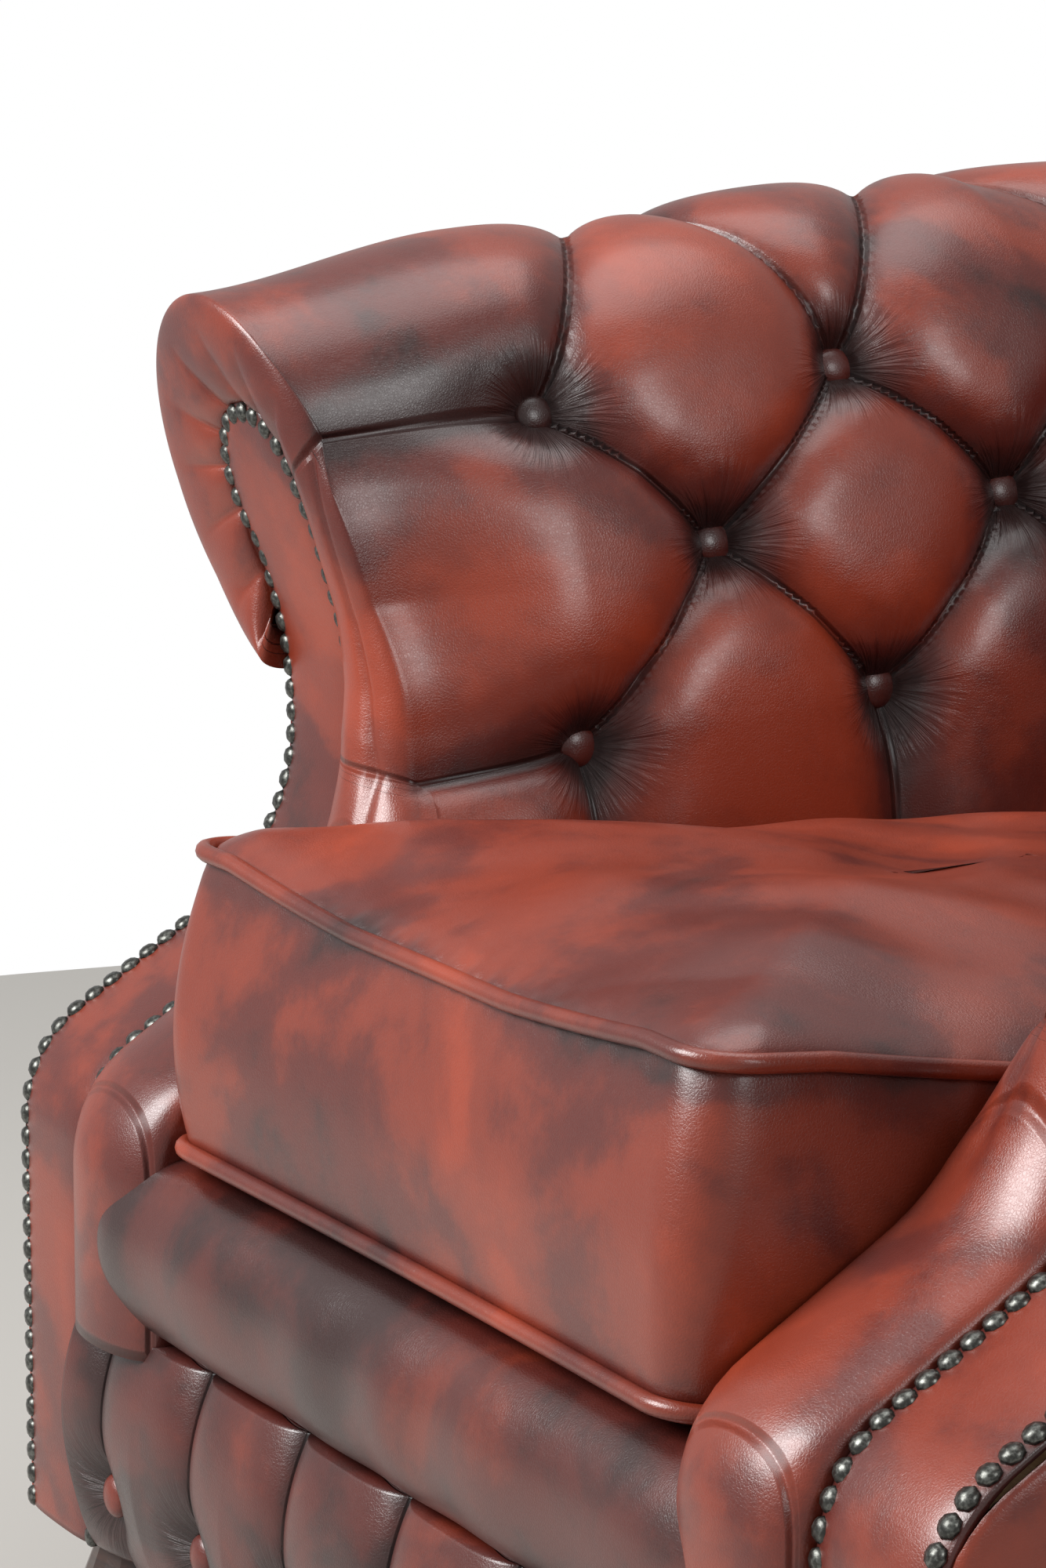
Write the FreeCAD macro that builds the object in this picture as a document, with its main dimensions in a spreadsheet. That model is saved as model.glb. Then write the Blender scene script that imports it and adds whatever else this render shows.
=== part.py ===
import FreeCAD, Part
import Sketcher
import math
import os
from FreeCAD import Vector

# Chesterfield armchair: beech frame, sprung seat, deep-buttoned leather and a loose box cushion.
# The sitter looks along -Y, so the sitter's left is +X. Z is up from the floor.
# Depths count back from the front reference plane, which lies front_to_centre ahead of the origin.

DRIVING_SIZES = [
    ("front_to_centre", 405.14, "front reference plane to the origin"),
    ("seat_half_width", 258.0, "half the clear width between the inside arms at the seat"),
    ("seat_depth", 560.0, "front reference plane to the inside back at the seat"),
    ("corner_radius", 30.0, "inner corner between inside arm and inside back"),
    ("fit_gap", 0.3, "clearance between a soft piece and its neighbour"),
    ("base_height", 75.0, "floor to the underside of the rails"),
    ("arm_rise", 5.0, "degrees that the arm climbs towards the back"),
    ("rise_start", 150.0, "depth at which roll_height is measured"),
    ("roll_height", 610.0, "floor to the centre line of the rolled top"),
    ("roll_offset", 167.0, "inside arm at the seat to the centre line of the roll"),
    ("core_offset", 150.0, "inside arm at the seat to the centre line of the roll's core"),
    ("roll_radius", 118.0, "outside radius of the roll"),
    ("roll_ring", 60.0, "thickness of the tufted layer over the roll"),
    ("wall_thickness", 55.0, "thickness of the tufted layer on the wall"),
    ("tuft_depth", 26.0, "depth of a button below the crest of the tufts"),
    ("edge_tuft_depth", 9.0, "depth of the folds at the front edge"),
    ("row_a_angle", 160.0, "place of the top button row on the roll, degrees"),
    ("row_z_angle", 55.0, "place of the outer button row on the roll, degrees"),
    ("row_b_height", 572.0, "middle button row above the floor"),
    ("row_b_lean", 26.0, "lean of the wall's crest at the middle row"),
    ("row_c_height", 478.0, "bottom button row above the floor"),
    ("row_c_lean", 2.0, "lean of the wall's crest at the bottom row"),
    ("arm_pitch", 178.5, "button pitch along the arm"),
    ("first_button", 238.0, "depth of the first button of the arm"),
    ("back_pitch", 150.0, "button pitch across the back"),
    ("button_seat", 5.0, "half height of the flat that a button sits on"),
    ("button_radius", 11.5, "covered button"),
    ("button_height", 8.0, "covered button, base to crown"),
    ("sweep_foot", -9.0, "depth of the facing's upright lower part"),
    ("sweep_start", 285.0, "height at which the arm front starts to sweep back"),
    ("sweep_turn", 58.0, "degrees turned by the lower bend"),
    ("sweep_radius", 65.0, "lower bend of the arm front"),
    ("sweep_run", 82.0, "straight run between the bends"),
    ("neck_radius", 115.0, "hollow bend at the neck"),
    ("head_radius", 250.0, "easy bend above the neck"),
    ("head_lean", 17.0, "degrees that the scroll leans forward"),
    ("facing_inner", 354.0, "centre plane to the facing's inner edge"),
    ("facing_outer", 433.0, "centre plane to the facing's outer edge"),
    ("post_inset", 10.0, "how far the post's round head stays inside the roll's core"),
    ("facing_inset", 9.0, "how far the facing's round head stays inside the roll's core"),
    ("facing_thickness", 12.0, "padded facing"),
    ("post_thickness", 45.0, "swept front post"),
    ("panel_offset", 197.0, "inside arm at the seat to the outside leather"),
    ("panel_thickness", 15.0, "outside leather on its board"),
    ("edge_roll_proud", 18.0, "padded edge ahead of the facing"),
    ("rail_thickness", 32.0, "seat rail"),
    ("rail_height", 110.0, "seat rail"),
    ("tack_rail_thickness", 28.0, "tack rail"),
    ("tack_rail_height", 320.0, "floor to the underside of the tack rails"),
    ("top_rail_thickness", 28.0, "rail under the rolls"),
    ("back_post_width", 45.0, "back post"),
    ("back_post_inner", 306.0, "centre line to the inner face of a back post"),
    ("arm_rail_inner", 372.0, "centre line to the inner face of an arm's top rail"),
    ("rear_arm_post_depth", 45.0, "post at the rear of the arm"),
    ("block_size", 60.0, "glued corner block"),
    ("deck_height", 303.0, "floor to the seat platform at its front"),
    ("deck_start", 31.0, "front reference plane to the platform"),
    ("deck_thickness", 30.0, "padded platform"),
    ("seat_pitch", 5.0, "degrees that the seat falls to the back"),
    ("seam_height", 207.0, "floor to the seam under the front roll"),
    ("border_proud", 31.0, "front roll and border ahead of the reference plane"),
    ("border_pitch", 106.5, "button pitch of the border"),
    ("border_button_height", 114.0, "floor to the border buttons"),
    ("border_button_depth", 15.0, "border buttons behind the crest"),
    ("cushion_half_width", 240.0, "cushion cover at the piping seam"),
    ("cushion_front", -9.0, "cushion cover's front seam"),
    ("cushion_depth", 551.0, "cushion cover, front to back"),
    ("cushion_height", 136.0, "bottom seam to top seam"),
    ("cushion_corner", 42.0, "plan corner of the cushion"),
    ("cushion_crown", 55.0, "crown above the top seam"),
    ("cushion_bulge", 7.0, "swell of the box sides"),
    ("cushion_draw", 4.0, "draw-in of each side between its corners"),
    ("cushion_skin", 2.0, "leather cover"),
    ("piping_radius", 4.5, "piping"),
    ("arc_chords", 3, "flat strips to each arc of the buttoned leather"),
    ("foot_sides", 20, "sides of a turned foot"),
    ("core_sides", 12, "sides of the stuffing in the rolls"),
    ("spring_radius", 45.0, "coil spring at its ends"),
    ("spring_waist", 30.0, "coil spring at its middle"),
    ("spring_pitch_x", 190.0, "springs across the seat"),
    ("spring_pitch_y", 180.0, "springs along the seat"),
    ("first_spring", 140.0, "depth of the front row of springs"),
    ("hessian_thickness", 2.0, "hessian over the springs"),
    ("web_width", 50.0, "webbing strip"),
    ("web_thickness", 2.0, "webbing strip"),
    ("dust_thickness", 1.2, "dust cover"),
    ("foot_radius", 38.0, "turned foot at its belly"),
    ("foot_neck", 25.0, "turned foot at its neck"),
    ("foot_toe", 22.0, "turned foot at its toe"),
    ("foot_front_x", 378.0, "front foot from the centre plane"),
    ("foot_front_y", 30.0, "depth of the front feet"),
    ("foot_rear_x", 384.0, "rear foot from the centre plane"),
    ("foot_rear_y", 650.0, "depth of the rear feet"),
    ("glide_thickness", 3.0, "steel glide"),
    ("glide_radius", 14.0, "steel glide"),
]

doc = FreeCAD.newDocument("chesterfield_armchair")
sheet = doc.addObject("Spreadsheet::Sheet", "sizes")
for row, (alias, number, note) in enumerate(DRIVING_SIZES, 1):
    sheet.set("A%d" % row, alias)
    sheet.set("B%d" % row, repr(number))
    sheet.set("C%d" % row, note)
    sheet.setAlias("B%d" % row, alias)
doc.recompute()


class Size:
    """A number together with the sheet formula that it comes from."""

    def __init__(self, number, formula):
        self.number = number
        self.formula = formula

    def __add__(self, other):
        other = as_size(other)
        return Size(self.number + other.number, "(%s + %s)" % (self.formula, other.formula))

    def __sub__(self, other):
        other = as_size(other)
        return Size(self.number - other.number, "(%s - %s)" % (self.formula, other.formula))

    def __mul__(self, other):
        other = as_size(other)
        return Size(self.number * other.number, "%s * %s" % (self.formula, other.formula))

    def __truediv__(self, other):
        other = as_size(other)
        return Size(self.number / other.number, "(%s / %s)" % (self.formula, other.formula))

    def __neg__(self):
        return self * -1.0

    __radd__ = __add__
    __rmul__ = __mul__

    def __rsub__(self, other):
        return as_size(other) - self


def as_size(value):
    """Wrap a plain number so that it can join a formula."""
    if isinstance(value, Size):
        return value
    return Size(float(value), "(%r)" % float(value))


def size(alias):
    """One cell of the sheet."""
    return Size(float(sheet.get(alias)), "sizes." + alias)


def sine(angle):
    return Size(math.sin(math.radians(angle.number)), "sin(%s)" % angle.formula)


def cosine(angle):
    return Size(math.cos(math.radians(angle.number)), "cos(%s)" % angle.formula)


def tangent(angle):
    return Size(math.tan(math.radians(angle.number)), "tan(%s)" % angle.formula)


def bind(thing, prop, value):
    """Tie a property to its formula."""
    thing.setExpression(prop, as_size(value).formula)


def depth(value):
    """Depth behind the front reference plane, as a Y coordinate."""
    return as_size(value) - size("front_to_centre")


def node(label, thing):
    """Keep a finished sub-part under the name that its file takes."""
    thing.Label = label
    nodes.append(thing)
    return thing


nodes = []
SIDES = (("left", 1.0), ("right", -1.0))


# Boards and blocks

def board(label, x_range, y_range, z_range, keep=True):
    """A squared piece of wood between three pairs of planes."""
    box = doc.addObject("Part::Box", label)
    low = [as_size(pair[0]) for pair in (x_range, y_range, z_range)]
    high = [as_size(pair[1]) for pair in (x_range, y_range, z_range)]
    for prop, start, stop in zip(("Length", "Width", "Height"), low, high):
        bind(box, prop, stop - start)
    for axis, start in zip("xyz", low):
        bind(box, "Placement.Base." + axis, start)
    if keep:
        node(label, box)
    return box


def side_range(sign, inner, outer):
    """A pair of X planes on one side of the chair, lowest first."""
    if sign > 0:
        return (as_size(inner), as_size(outer))
    return (-as_size(outer), -as_size(inner))


def boolean(kind, label, base, tool):
    thing = doc.addObject("Part::" + kind, label)
    thing.Base = base
    thing.Tool = tool
    return thing


# Sketches

def sketch_on(body, role, name, lift=0.0, shift=0.0):
    """A sketch on one of the body's origin planes, moved along the plane's normal."""
    sketch = body.newObject("Sketcher::SketchObject", name)
    plane = [item for item in body.Origin.OriginFeatures if item.Role == role][0]
    sketch.AttachmentSupport = [(plane, "")]
    sketch.MapMode = "FlatFace"
    bind(sketch, "AttachmentOffset.Base.z", lift)
    bind(sketch, "AttachmentOffset.Base.x", shift)
    return sketch


def arc_edge(start, end, radius, side):
    """An arc under half a circle; side is 1 where its centre lies left of the way it is drawn."""
    half = (end - start) * 0.5
    left = Vector(-half.y, half.x, 0).normalize()
    reach = math.sqrt(max(radius ** 2 - half.Length ** 2, 0.0))
    centre = start + half + left * (reach * side)
    if side < 0:
        start, end = end, start
    first = math.atan2(start.y - centre.y, start.x - centre.x)
    last = math.atan2(end.y - centre.y, end.x - centre.x)
    return Part.ArcOfCircle(Part.Circle(centre, Vector(0, 0, 1), radius), first, last)


def draw_outline(sketch, corners, bends):
    """A closed outline: corners are pairs of sizes, bends give an edge's radius and centre side."""
    count = len(corners)
    points = [Vector(as_size(x).number, as_size(y).number, 0) for x, y in corners]
    ends = []
    for index in range(count):
        start = points[index]
        end = points[(index + 1) % count]
        if index in bends:
            radius, side = bends[index]
            sketch.addGeometry(arc_edge(start, end, as_size(radius).number, side), False)
            ends.append((1, 2) if side > 0 else (2, 1))
        else:
            sketch.addGeometry(Part.LineSegment(start, end), False)
            ends.append((1, 2))
    for index in range(count):
        following = (index + 1) % count
        sketch.addConstraint(Sketcher.Constraint("Coincident", index, ends[index][1],
                                                 following, ends[following][0]))
    for index, (x, y) in enumerate(corners):
        for kind, value in (("DistanceX", x), ("DistanceY", y)):
            value = as_size(value)
            name = "%s_%d" % (kind.lower(), index)
            place = sketch.addConstraint(Sketcher.Constraint(kind, -1, 1, index, ends[index][0],
                                                             value.number))
            sketch.renameConstraint(place, name)
            bind(sketch, "Constraints." + name, value)
    for index, (radius, side) in bends.items():
        name = "radius_%d" % index
        place = sketch.addConstraint(Sketcher.Constraint("Radius", index, as_size(radius).number))
        sketch.renameConstraint(place, name)
        bind(sketch, "Constraints." + name, radius)


def pad_body(label, role, lift, length, corners, bends):
    """A body padded from one outline."""
    body = doc.addObject("PartDesign::Body", label)
    sketch = sketch_on(body, role, label + "_outline", lift)
    draw_outline(sketch, corners, bends)
    pad = body.newObject("PartDesign::Pad", label + "_pad")
    pad.Profile = sketch
    bind(pad, "Length", length)
    body.Tip = pad
    return body


def pad_across(label, x_range, corners, bends):
    """A side outline in depth and height, padded along X."""
    start, stop = (as_size(value) for value in x_range)
    return pad_body(label, "YZ_Plane", start, stop - start, corners, bends)


def pad_through(label, y_range, corners, bends):
    """A front outline in width and height, padded along Y."""
    start, stop = (as_size(value) for value in y_range)
    return pad_body(label, "XZ_Plane", -stop, stop - start, corners, bends)


def turned_body(label, x, y, corners, bends):
    """A body turned about a vertical axis from half its outline."""
    body = doc.addObject("PartDesign::Body", label)
    sketch = sketch_on(body, "XZ_Plane", label + "_outline")
    draw_outline(sketch, corners, bends)
    turn = body.newObject("PartDesign::Revolution", label + "_turn")
    turn.Profile = sketch
    turn.ReferenceAxis = (sketch, ["V_Axis"])
    turn.Angle = 360.0
    body.Tip = turn
    bind(body, "Placement.Base.x", x)
    bind(body, "Placement.Base.y", y)
    return body


# The sweep of the arm front, seen from the side

def sweep_points(forward, forward_head=None):
    """Corners of the arm front from the floor up, moved forward of the facing's face."""
    forward = as_size(forward)
    forward_head = forward if forward_head is None else as_size(forward_head)
    run_heading = 90.0 - size("sweep_turn")
    lean_heading = 90.0 + size("head_lean")
    foot = size("sweep_foot")
    low_centre_y = foot + size("sweep_radius")
    low_centre_z = size("sweep_start")
    run_start_y = low_centre_y - size("sweep_radius") * sine(run_heading)
    run_start_z = low_centre_z + size("sweep_radius") * cosine(run_heading)
    run_end_y = run_start_y + size("sweep_run") * cosine(run_heading)
    run_end_z = run_start_z + size("sweep_run") * sine(run_heading)
    neck_centre_y = run_end_y - size("neck_radius") * sine(run_heading)
    neck_centre_z = run_end_z + size("neck_radius") * cosine(run_heading)
    neck_y = neck_centre_y + size("neck_radius")
    head_centre_y = neck_y - size("head_radius")
    head_y = head_centre_y + size("head_radius") * sine(lean_heading)
    head_z = neck_centre_z - size("head_radius") * cosine(lean_heading)
    top_z = size("roll_height") + size("roll_radius") + 20.0
    top_y = head_y + (top_z - head_z) * cosine(lean_heading) / sine(lean_heading)
    return [
        (depth(foot - forward), size("base_height")),
        (depth(foot - forward), low_centre_z),
        (depth(run_start_y - forward * sine(run_heading)),
         run_start_z + forward * cosine(run_heading)),
        (depth(run_end_y - forward * sine(run_heading)), run_end_z + forward * cosine(run_heading)),
        (depth(neck_y - forward), neck_centre_z),
        (depth(head_y - forward_head * sine(lean_heading)),
         head_z + forward_head * cosine(lean_heading)),
        (depth(top_y - forward_head), top_z),
    ]


def sweep_bends(forward):
    """Radii of the three bends, keyed by the corner that each starts from."""
    forward = as_size(forward)
    return {1: (size("sweep_radius") + forward, -1),
            3: (size("neck_radius") - forward, 1),
            4: (size("head_radius") - forward, 1)}


def sweep_band(label, x_range, front, rear):
    """A board that follows the arm front, between two distances ahead of the facing's face."""
    ahead = sweep_points(front)
    behind = sweep_points(rear)
    behind.reverse()
    bends = sweep_bends(front)
    back_bends = sweep_bends(rear)
    bends[8] = (back_bends[4][0], -1)
    bends[9] = (back_bends[3][0], -1)
    bends[11] = (back_bends[1][0], 1)
    return pad_across(label, x_range, ahead + behind, bends)


def lift_at(distance):
    """Climb of the arm at a depth."""
    return (as_size(distance) - size("rise_start")) * tangent(size("arm_rise"))


def deck_at(distance):
    """Height of the platform's top at a depth."""
    return size("deck_height") - (as_size(distance) - size("deck_start")) * tangent(size("seat_pitch"))


straight_end = size("seat_depth") - size("corner_radius")
back_lift = lift_at(straight_end)
roll_centre_x = size("seat_half_width") + size("roll_offset")
core_centre_x = size("seat_half_width") + size("core_offset")
core_radius = size("roll_radius") - size("roll_ring") - size("fit_gap")
post_inner = size("seat_half_width") + size("wall_thickness") + size("fit_gap") * 2.0
post_outer = size("seat_half_width") + size("panel_offset") - size("panel_thickness")
rail_top = size("base_height") + size("rail_height")
post_rear = size("sweep_foot") + size("facing_thickness") + size("post_thickness")
rail_front = size("sweep_foot") + size("facing_thickness")
back_rail_front = size("seat_depth") + size("wall_thickness") + 6.0
back_post_front = back_rail_front + size("tack_rail_thickness")
facing_head = size("roll_height") + lift_at(120.0)
post_head = size("roll_height") + lift_at(165.0)


# Scroll outlines, seen from the front

def scroll_pad(label, sign, inner, outer, radius, middle, shoulder):
    """An upright strip with a round head, to be met with the sweep of the arm front."""
    inner = as_size(inner)
    outer = as_size(outer)
    radius = as_size(radius)
    centre = core_centre_x
    drop = Size(math.sqrt(radius.number ** 2 - (outer - centre).number ** 2),
                "sqrt(%s * %s - %s * %s)" % (radius.formula, radius.formula,
                                             (outer - centre).formula, (outer - centre).formula))
    corners = [
        (inner * sign, size("base_height")),
        (outer * sign, size("base_height")),
        (outer * sign, middle - drop),
        ((centre + radius) * sign, middle),
        (centre * sign, middle + radius),
        ((centre - radius) * sign, middle),
        ((inner + 2.4) * sign, shoulder),
    ]
    turn = 1 if sign > 0 else -1
    bends = {2: (radius, turn), 3: (radius, turn), 4: (radius, turn)}
    return pad_through(label, (depth(-80.0), depth(260.0)), corners, bends)


def make_front_posts():
    for side, sign in SIDES:
        front = -size("facing_thickness")
        band = sweep_band("post_sweep_" + side, side_range(sign, post_inner, post_inner + 200.0),
                          front, front - size("post_thickness"))
        outline = scroll_pad("post_scroll_" + side, sign, post_inner, post_outer,
                             core_radius - size("post_inset"), post_head,
                             size("row_c_height") - 12.0)
        posts[side] = node("front_post_" + side,
                           boolean("Common", "front_post_" + side, outline, band))


def make_facings():
    for side, sign in SIDES:
        band = sweep_band("facing_sweep_" + side, side_range(sign, 300.0, 520.0),
                          0.0, -size("facing_thickness"))
        outline = scroll_pad("facing_scroll_" + side, sign, size("facing_inner"),
                             size("facing_outer"), core_radius - size("facing_inset"),
                             facing_head, size("row_c_height"))
        node("facing_" + side, boolean("Common", "facing_" + side, outline, band))


posts = {}
make_front_posts()
make_facings()


# Rails and the back frame

def make_seat_frame():
    rail_z = (size("base_height"), rail_top)
    tack_z = (size("tack_rail_height"), size("tack_rail_height") + size("tack_rail_thickness"))
    board("front_rail", (-post_inner, post_inner),
          (depth(rail_front), depth(rail_front + size("rail_thickness"))), rail_z)
    back_reach = size("back_post_inner") + size("back_post_width")
    back_y = (depth(back_rail_front), depth(back_post_front))
    board("back_rail", (-back_reach, back_reach), back_y, rail_z)
    board("back_tack_rail", (-back_reach, back_reach), back_y, tack_z)
    for side, sign in SIDES:
        board("side_rail_" + side, side_range(sign, post_inner, post_inner + size("rail_thickness")),
              (depth(post_rear), depth(back_rail_front)), rail_z)
        tack = board("tack_blank_" + side,
                     side_range(sign, post_inner, post_inner + size("tack_rail_thickness")),
                     (depth(88.0), depth(back_rail_front)), tack_z, keep=False)
        node("arm_tack_rail_" + side,
             boolean("Cut", "arm_tack_rail_" + side, tack, posts[side]))
        board("back_post_" + side, side_range(sign, size("back_post_inner"), back_reach),
              (depth(back_post_front), depth(back_post_front + size("back_post_width"))),
              (size("base_height"), back_rail_under))


def make_arm_frame():
    rear_start = straight_end - size("rear_arm_post_depth")
    rail_start = as_size(175.0)
    for side, sign in SIDES:
        top_x = side_range(sign, size("arm_rail_inner"), post_outer)
        blank = board("top_rail_blank_" + side, top_x, (depth(rail_start), depth(straight_end)),
                      (0.0, size("top_rail_thickness")), keep=False)
        pitch = size("arm_rise")
        under = core_radius + size("fit_gap")
        bind(blank, "Placement.Rotation.Angle", pitch)
        blank.Placement = FreeCAD.Placement(blank.Placement.Base, Vector(1, 0, 0), pitch.number)
        bind(blank, "Width", (straight_end - rail_start) / cosine(pitch))
        bind(blank, "Placement.Base.y", depth(rail_start) + size("top_rail_thickness") * sine(pitch))
        bind(blank, "Placement.Base.z", size("roll_height") + lift_at(rail_start)
             - under / cosine(pitch) - size("top_rail_thickness") * cosine(pitch))
        rail = node("arm_top_rail_" + side,
                    boolean("Cut", "arm_top_rail_" + side, blank, posts[side]))
        post = board("rear_post_blank_" + side,
                     side_range(sign, post_inner + size("rail_thickness"), post_outer),
                     (depth(rear_start), depth(straight_end)),
                     (size("base_height"), back_rail_under + size("top_rail_thickness") / 2.0),
                     keep=False)
        node("rear_arm_post_" + side, boolean("Cut", "rear_arm_post_" + side, post, rail))
        board("outer_base_rail_" + side,
              side_range(sign, size("arm_rail_inner") + size("back_post_width"), post_outer),
              (depth(post_rear), depth(rear_start)),
              (size("base_height"), size("base_height") + size("back_post_width")))
        board("upper_corner_block_" + side,
              side_range(sign, size("back_post_inner") + size("back_post_width") - 6.0,
                         size("back_post_inner") + size("back_post_width") * 2.0 - 6.0),
              (depth(straight_end + 3.0), depth(back_post_front)),
              (back_rail_under - size("top_rail_thickness"), back_rail_under))


back_rail_under = size("roll_height") + back_lift - core_radius - size("top_rail_thickness") - size(
    "fit_gap")


def make_back_frame():
    reach = size("back_post_inner") + size("back_post_width")
    board("back_top_rail", (-reach, reach),
          (depth(back_post_front), depth(back_post_front + size("back_post_width") + 4.0)),
          (back_rail_under, back_rail_under + size("top_rail_thickness")))
    inner = size("seat_depth") + size("panel_offset") - size("panel_thickness")
    board("outer_back_rail", (-straight_half, straight_half),
          (depth(inner - size("tack_rail_thickness")), depth(inner)),
          (size("base_height"), size("base_height") + size("back_post_width")))
    blocks = []
    for index in (-1, 0, 1):
        middle = straight_half * (0.8 * index)
        blocks.append(board("spacer_%d" % (index + 2), (middle - 20.0, middle + 20.0),
                            (depth(back_post_front), depth(inner - size("tack_rail_thickness"))),
                            (size("base_height"), size("base_height") + size("back_post_width")),
                            keep=False))
    group = doc.addObject("Part::Compound", "back_spacers")
    group.Links = blocks
    node("back_spacers", group)


straight_half = size("seat_half_width") - size("corner_radius")
make_seat_frame()
make_arm_frame()
make_back_frame()


def make_corner_blocks():
    blocks = []
    leg = size("block_size")
    low = size("base_height") + size("rail_height") / 4.0
    front_face = rail_front + size("rail_thickness")
    for name, sign in SIDES:
        for place, face, way in (("front", front_face, 1.0), ("rear", back_rail_front, -1.0)):
            label = "block_%s_%s" % (place, name)
            body = doc.addObject("PartDesign::Body", label)
            sketch = sketch_on(body, "XY_Plane", label + "_outline", low)
            draw_outline(sketch, [(post_inner * sign, depth(face)),
                                  ((post_inner - leg) * sign, depth(face)),
                                  (post_inner * sign, depth(face + leg * way))], {})
            pad = body.newObject("PartDesign::Pad", label + "_pad")
            pad.Profile = sketch
            bind(pad, "Length", size("rail_height") / 2.0)
            body.Tip = pad
            blocks.append(body)
    group = doc.addObject("Part::Compound", "seat_corner_blocks")
    group.Links = blocks
    node("seat_corner_blocks", group)


make_corner_blocks()


# Tufted leather: sections across the arm and the back, in offset from the wall and height

def on_roll(angle, radius, climb):
    """A point of the roll, by its angle above the horizontal."""
    turn = math.radians(angle)
    return (size("roll_offset").number + radius * math.cos(turn),
            size("roll_height").number + climb + radius * math.sin(turn))


def on_core(angle, radius, climb):
    """A point of the roll's core, by its angle above the horizontal."""
    turn = math.radians(angle)
    return (size("core_offset").number + radius * math.cos(turn),
            size("roll_height").number + climb + radius * math.sin(turn))


def tuft_section(kind, climb, foot):
    """Corners and bulge points of one section: kind is edge, low or high.

    A low section has its buttons in the top and bottom rows, a high one in the middle and outer
    rows, and an edge section has shallow folds only.
    """
    deep = size("tuft_depth").number
    seat = size("button_seat").number
    radius = size("roll_radius").number
    angle_a = size("row_a_angle").number
    angle_z = size("row_z_angle").number
    step = math.degrees(seat / radius)
    height_b = size("row_b_height").number + climb
    height_c = size("row_c_height").number + climb
    lean_b = size("row_b_lean").number
    lean_c = size("row_c_lean").number
    shallow = size("edge_tuft_depth").number
    if kind == "high":
        fold_3 = (lean_b + deep, height_b - seat)
        fold_2 = (lean_b + deep, height_b + seat)
        fold_1 = on_roll(angle_z, radius - deep, climb)
        bulge_0 = (4.0, (foot + height_c) / 2.0 + 8.0)
        bulge_1 = (lean_b + deep + 1.0, height_b)
        bulge_2 = on_roll(127.0, radius - 2.0, climb)
        start = (12.0, foot)
    else:
        inset = deep if kind == "low" else shallow
        drop = 0.0 if kind == "low" else 26.0
        fold_3 = (lean_c + inset * 0.9, height_c - drop)
        fold_2 = on_roll(angle_a + step, radius - inset, climb)
        fold_1 = on_roll(angle_a - step, radius - inset, climb)
        bulge_0 = (5.0, (foot + height_c) / 2.0)
        bulge_1 = (lean_b - 3.0, height_b + 2.0)
        bulge_2 = on_roll(angle_a, radius - inset - 0.6, climb)
        start = (6.0, foot)
    brow = on_roll(12.0, radius, climb)
    bulge_3 = on_roll((12.0 + (angle_z if kind == "high" else 96.0)) / 2.0 + 6.0,
                      radius - (1.0 if kind == "high" else 0.0), climb)
    tail = on_roll(-80.0, radius, climb)
    core = size("roll_radius").number - size("roll_ring").number
    back = size("wall_thickness").number
    inner_tail = on_core(-54.0, core, climb)
    inner_top = on_core(60.0, core, climb)
    inner_side = on_core(180.0, core, climb)
    edges = [("arc", start, bulge_0, fold_3), ("arc", fold_3, bulge_1, fold_2),
             ("arc", fold_2, bulge_2, fold_1), ("arc", fold_1, bulge_3, brow),
             ("arc", brow, on_roll(-34.0, radius, climb), tail),
             ("line", tail, None, inner_tail),
             ("arc", inner_tail, on_core(0.0, core, climb), inner_top),
             ("arc", inner_top, on_core(120.0, core, climb), inner_side),
             ("line", inner_side, None, (back, height_c)),
             ("line", (back, height_c), None, (back, foot)),
             ("line", (back, foot), None, start)]
    return edges


def arm_place(sign, distance):
    """Places a section point across the arm at a depth."""
    half = size("seat_half_width").number
    y = depth(distance).number
    return lambda point: Vector(sign * (half + point[0]), y, point[1])


def corner_place(sign, angle):
    """Places a section point on the corner, turned from the arm towards the back."""
    centre_x = straight_half.number
    centre_y = depth(straight_end).number
    turn = math.radians(angle)
    radius = size("corner_radius").number
    return lambda point: Vector(sign * (centre_x + (radius + point[0]) * math.cos(turn)),
                                centre_y + (radius + point[0]) * math.sin(turn), point[1])


def back_place(x):
    """Places a section point across the back at a width."""
    y = depth(size("seat_depth")).number
    return lambda point: Vector(x, y + point[0], point[1])


def between(first, second, share, centre):
    """A point part of the way from one point to another, turning about the roll's centre."""
    if first is None:
        return None
    lowest = centre[1] - size("roll_ring").number / 2.0
    if min(first[1], second[1]) < lowest:
        return tuple(a + (b - a) * share for a, b in zip(first, second))
    polar = []
    for point in (first, second):
        away = (point[0] - centre[0], point[1] - centre[1])
        polar.append((math.hypot(*away), math.atan2(away[1], away[0]) % (2.0 * math.pi)))
    reach, turn = (a + (b - a) * share for a, b in zip(*polar))
    if abs(polar[0][1] - polar[1][1]) > math.pi:
        return tuple(a + (b - a) * share for a, b in zip(first, second))
    return (centre[0] + reach * math.cos(turn), centre[1] + reach * math.sin(turn))


def mixed_section(share, climb, foot):
    """A section part of the way from a high one to a low one."""
    centre = (size("roll_offset").number, size("roll_height").number + climb)
    pairs = zip(tuft_section("high", climb, foot), tuft_section("low", climb, foot))
    return [(one[0],) + tuple(between(a, b, share, centre) for a, b in zip(one[1:], two[1:]))
            for one, two in pairs]


def section_ring(kind, climb, foot, place):
    """The corners of one section: kind is a name or a share between high and low."""
    chords = int(size("arc_chords").number)
    ring = []
    if isinstance(kind, float):
        section = mixed_section(kind, climb, foot)
    else:
        section = tuft_section(kind, climb, foot)
    for shape, start, middle, end in section:
        if shape == "arc":
            curve = Part.Arc(place(start), place(middle), place(end)).toShape()
            ring.extend(curve.discretize(chords + 1)[:-1])
        else:
            ring.append(place(start))
    return ring


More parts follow.
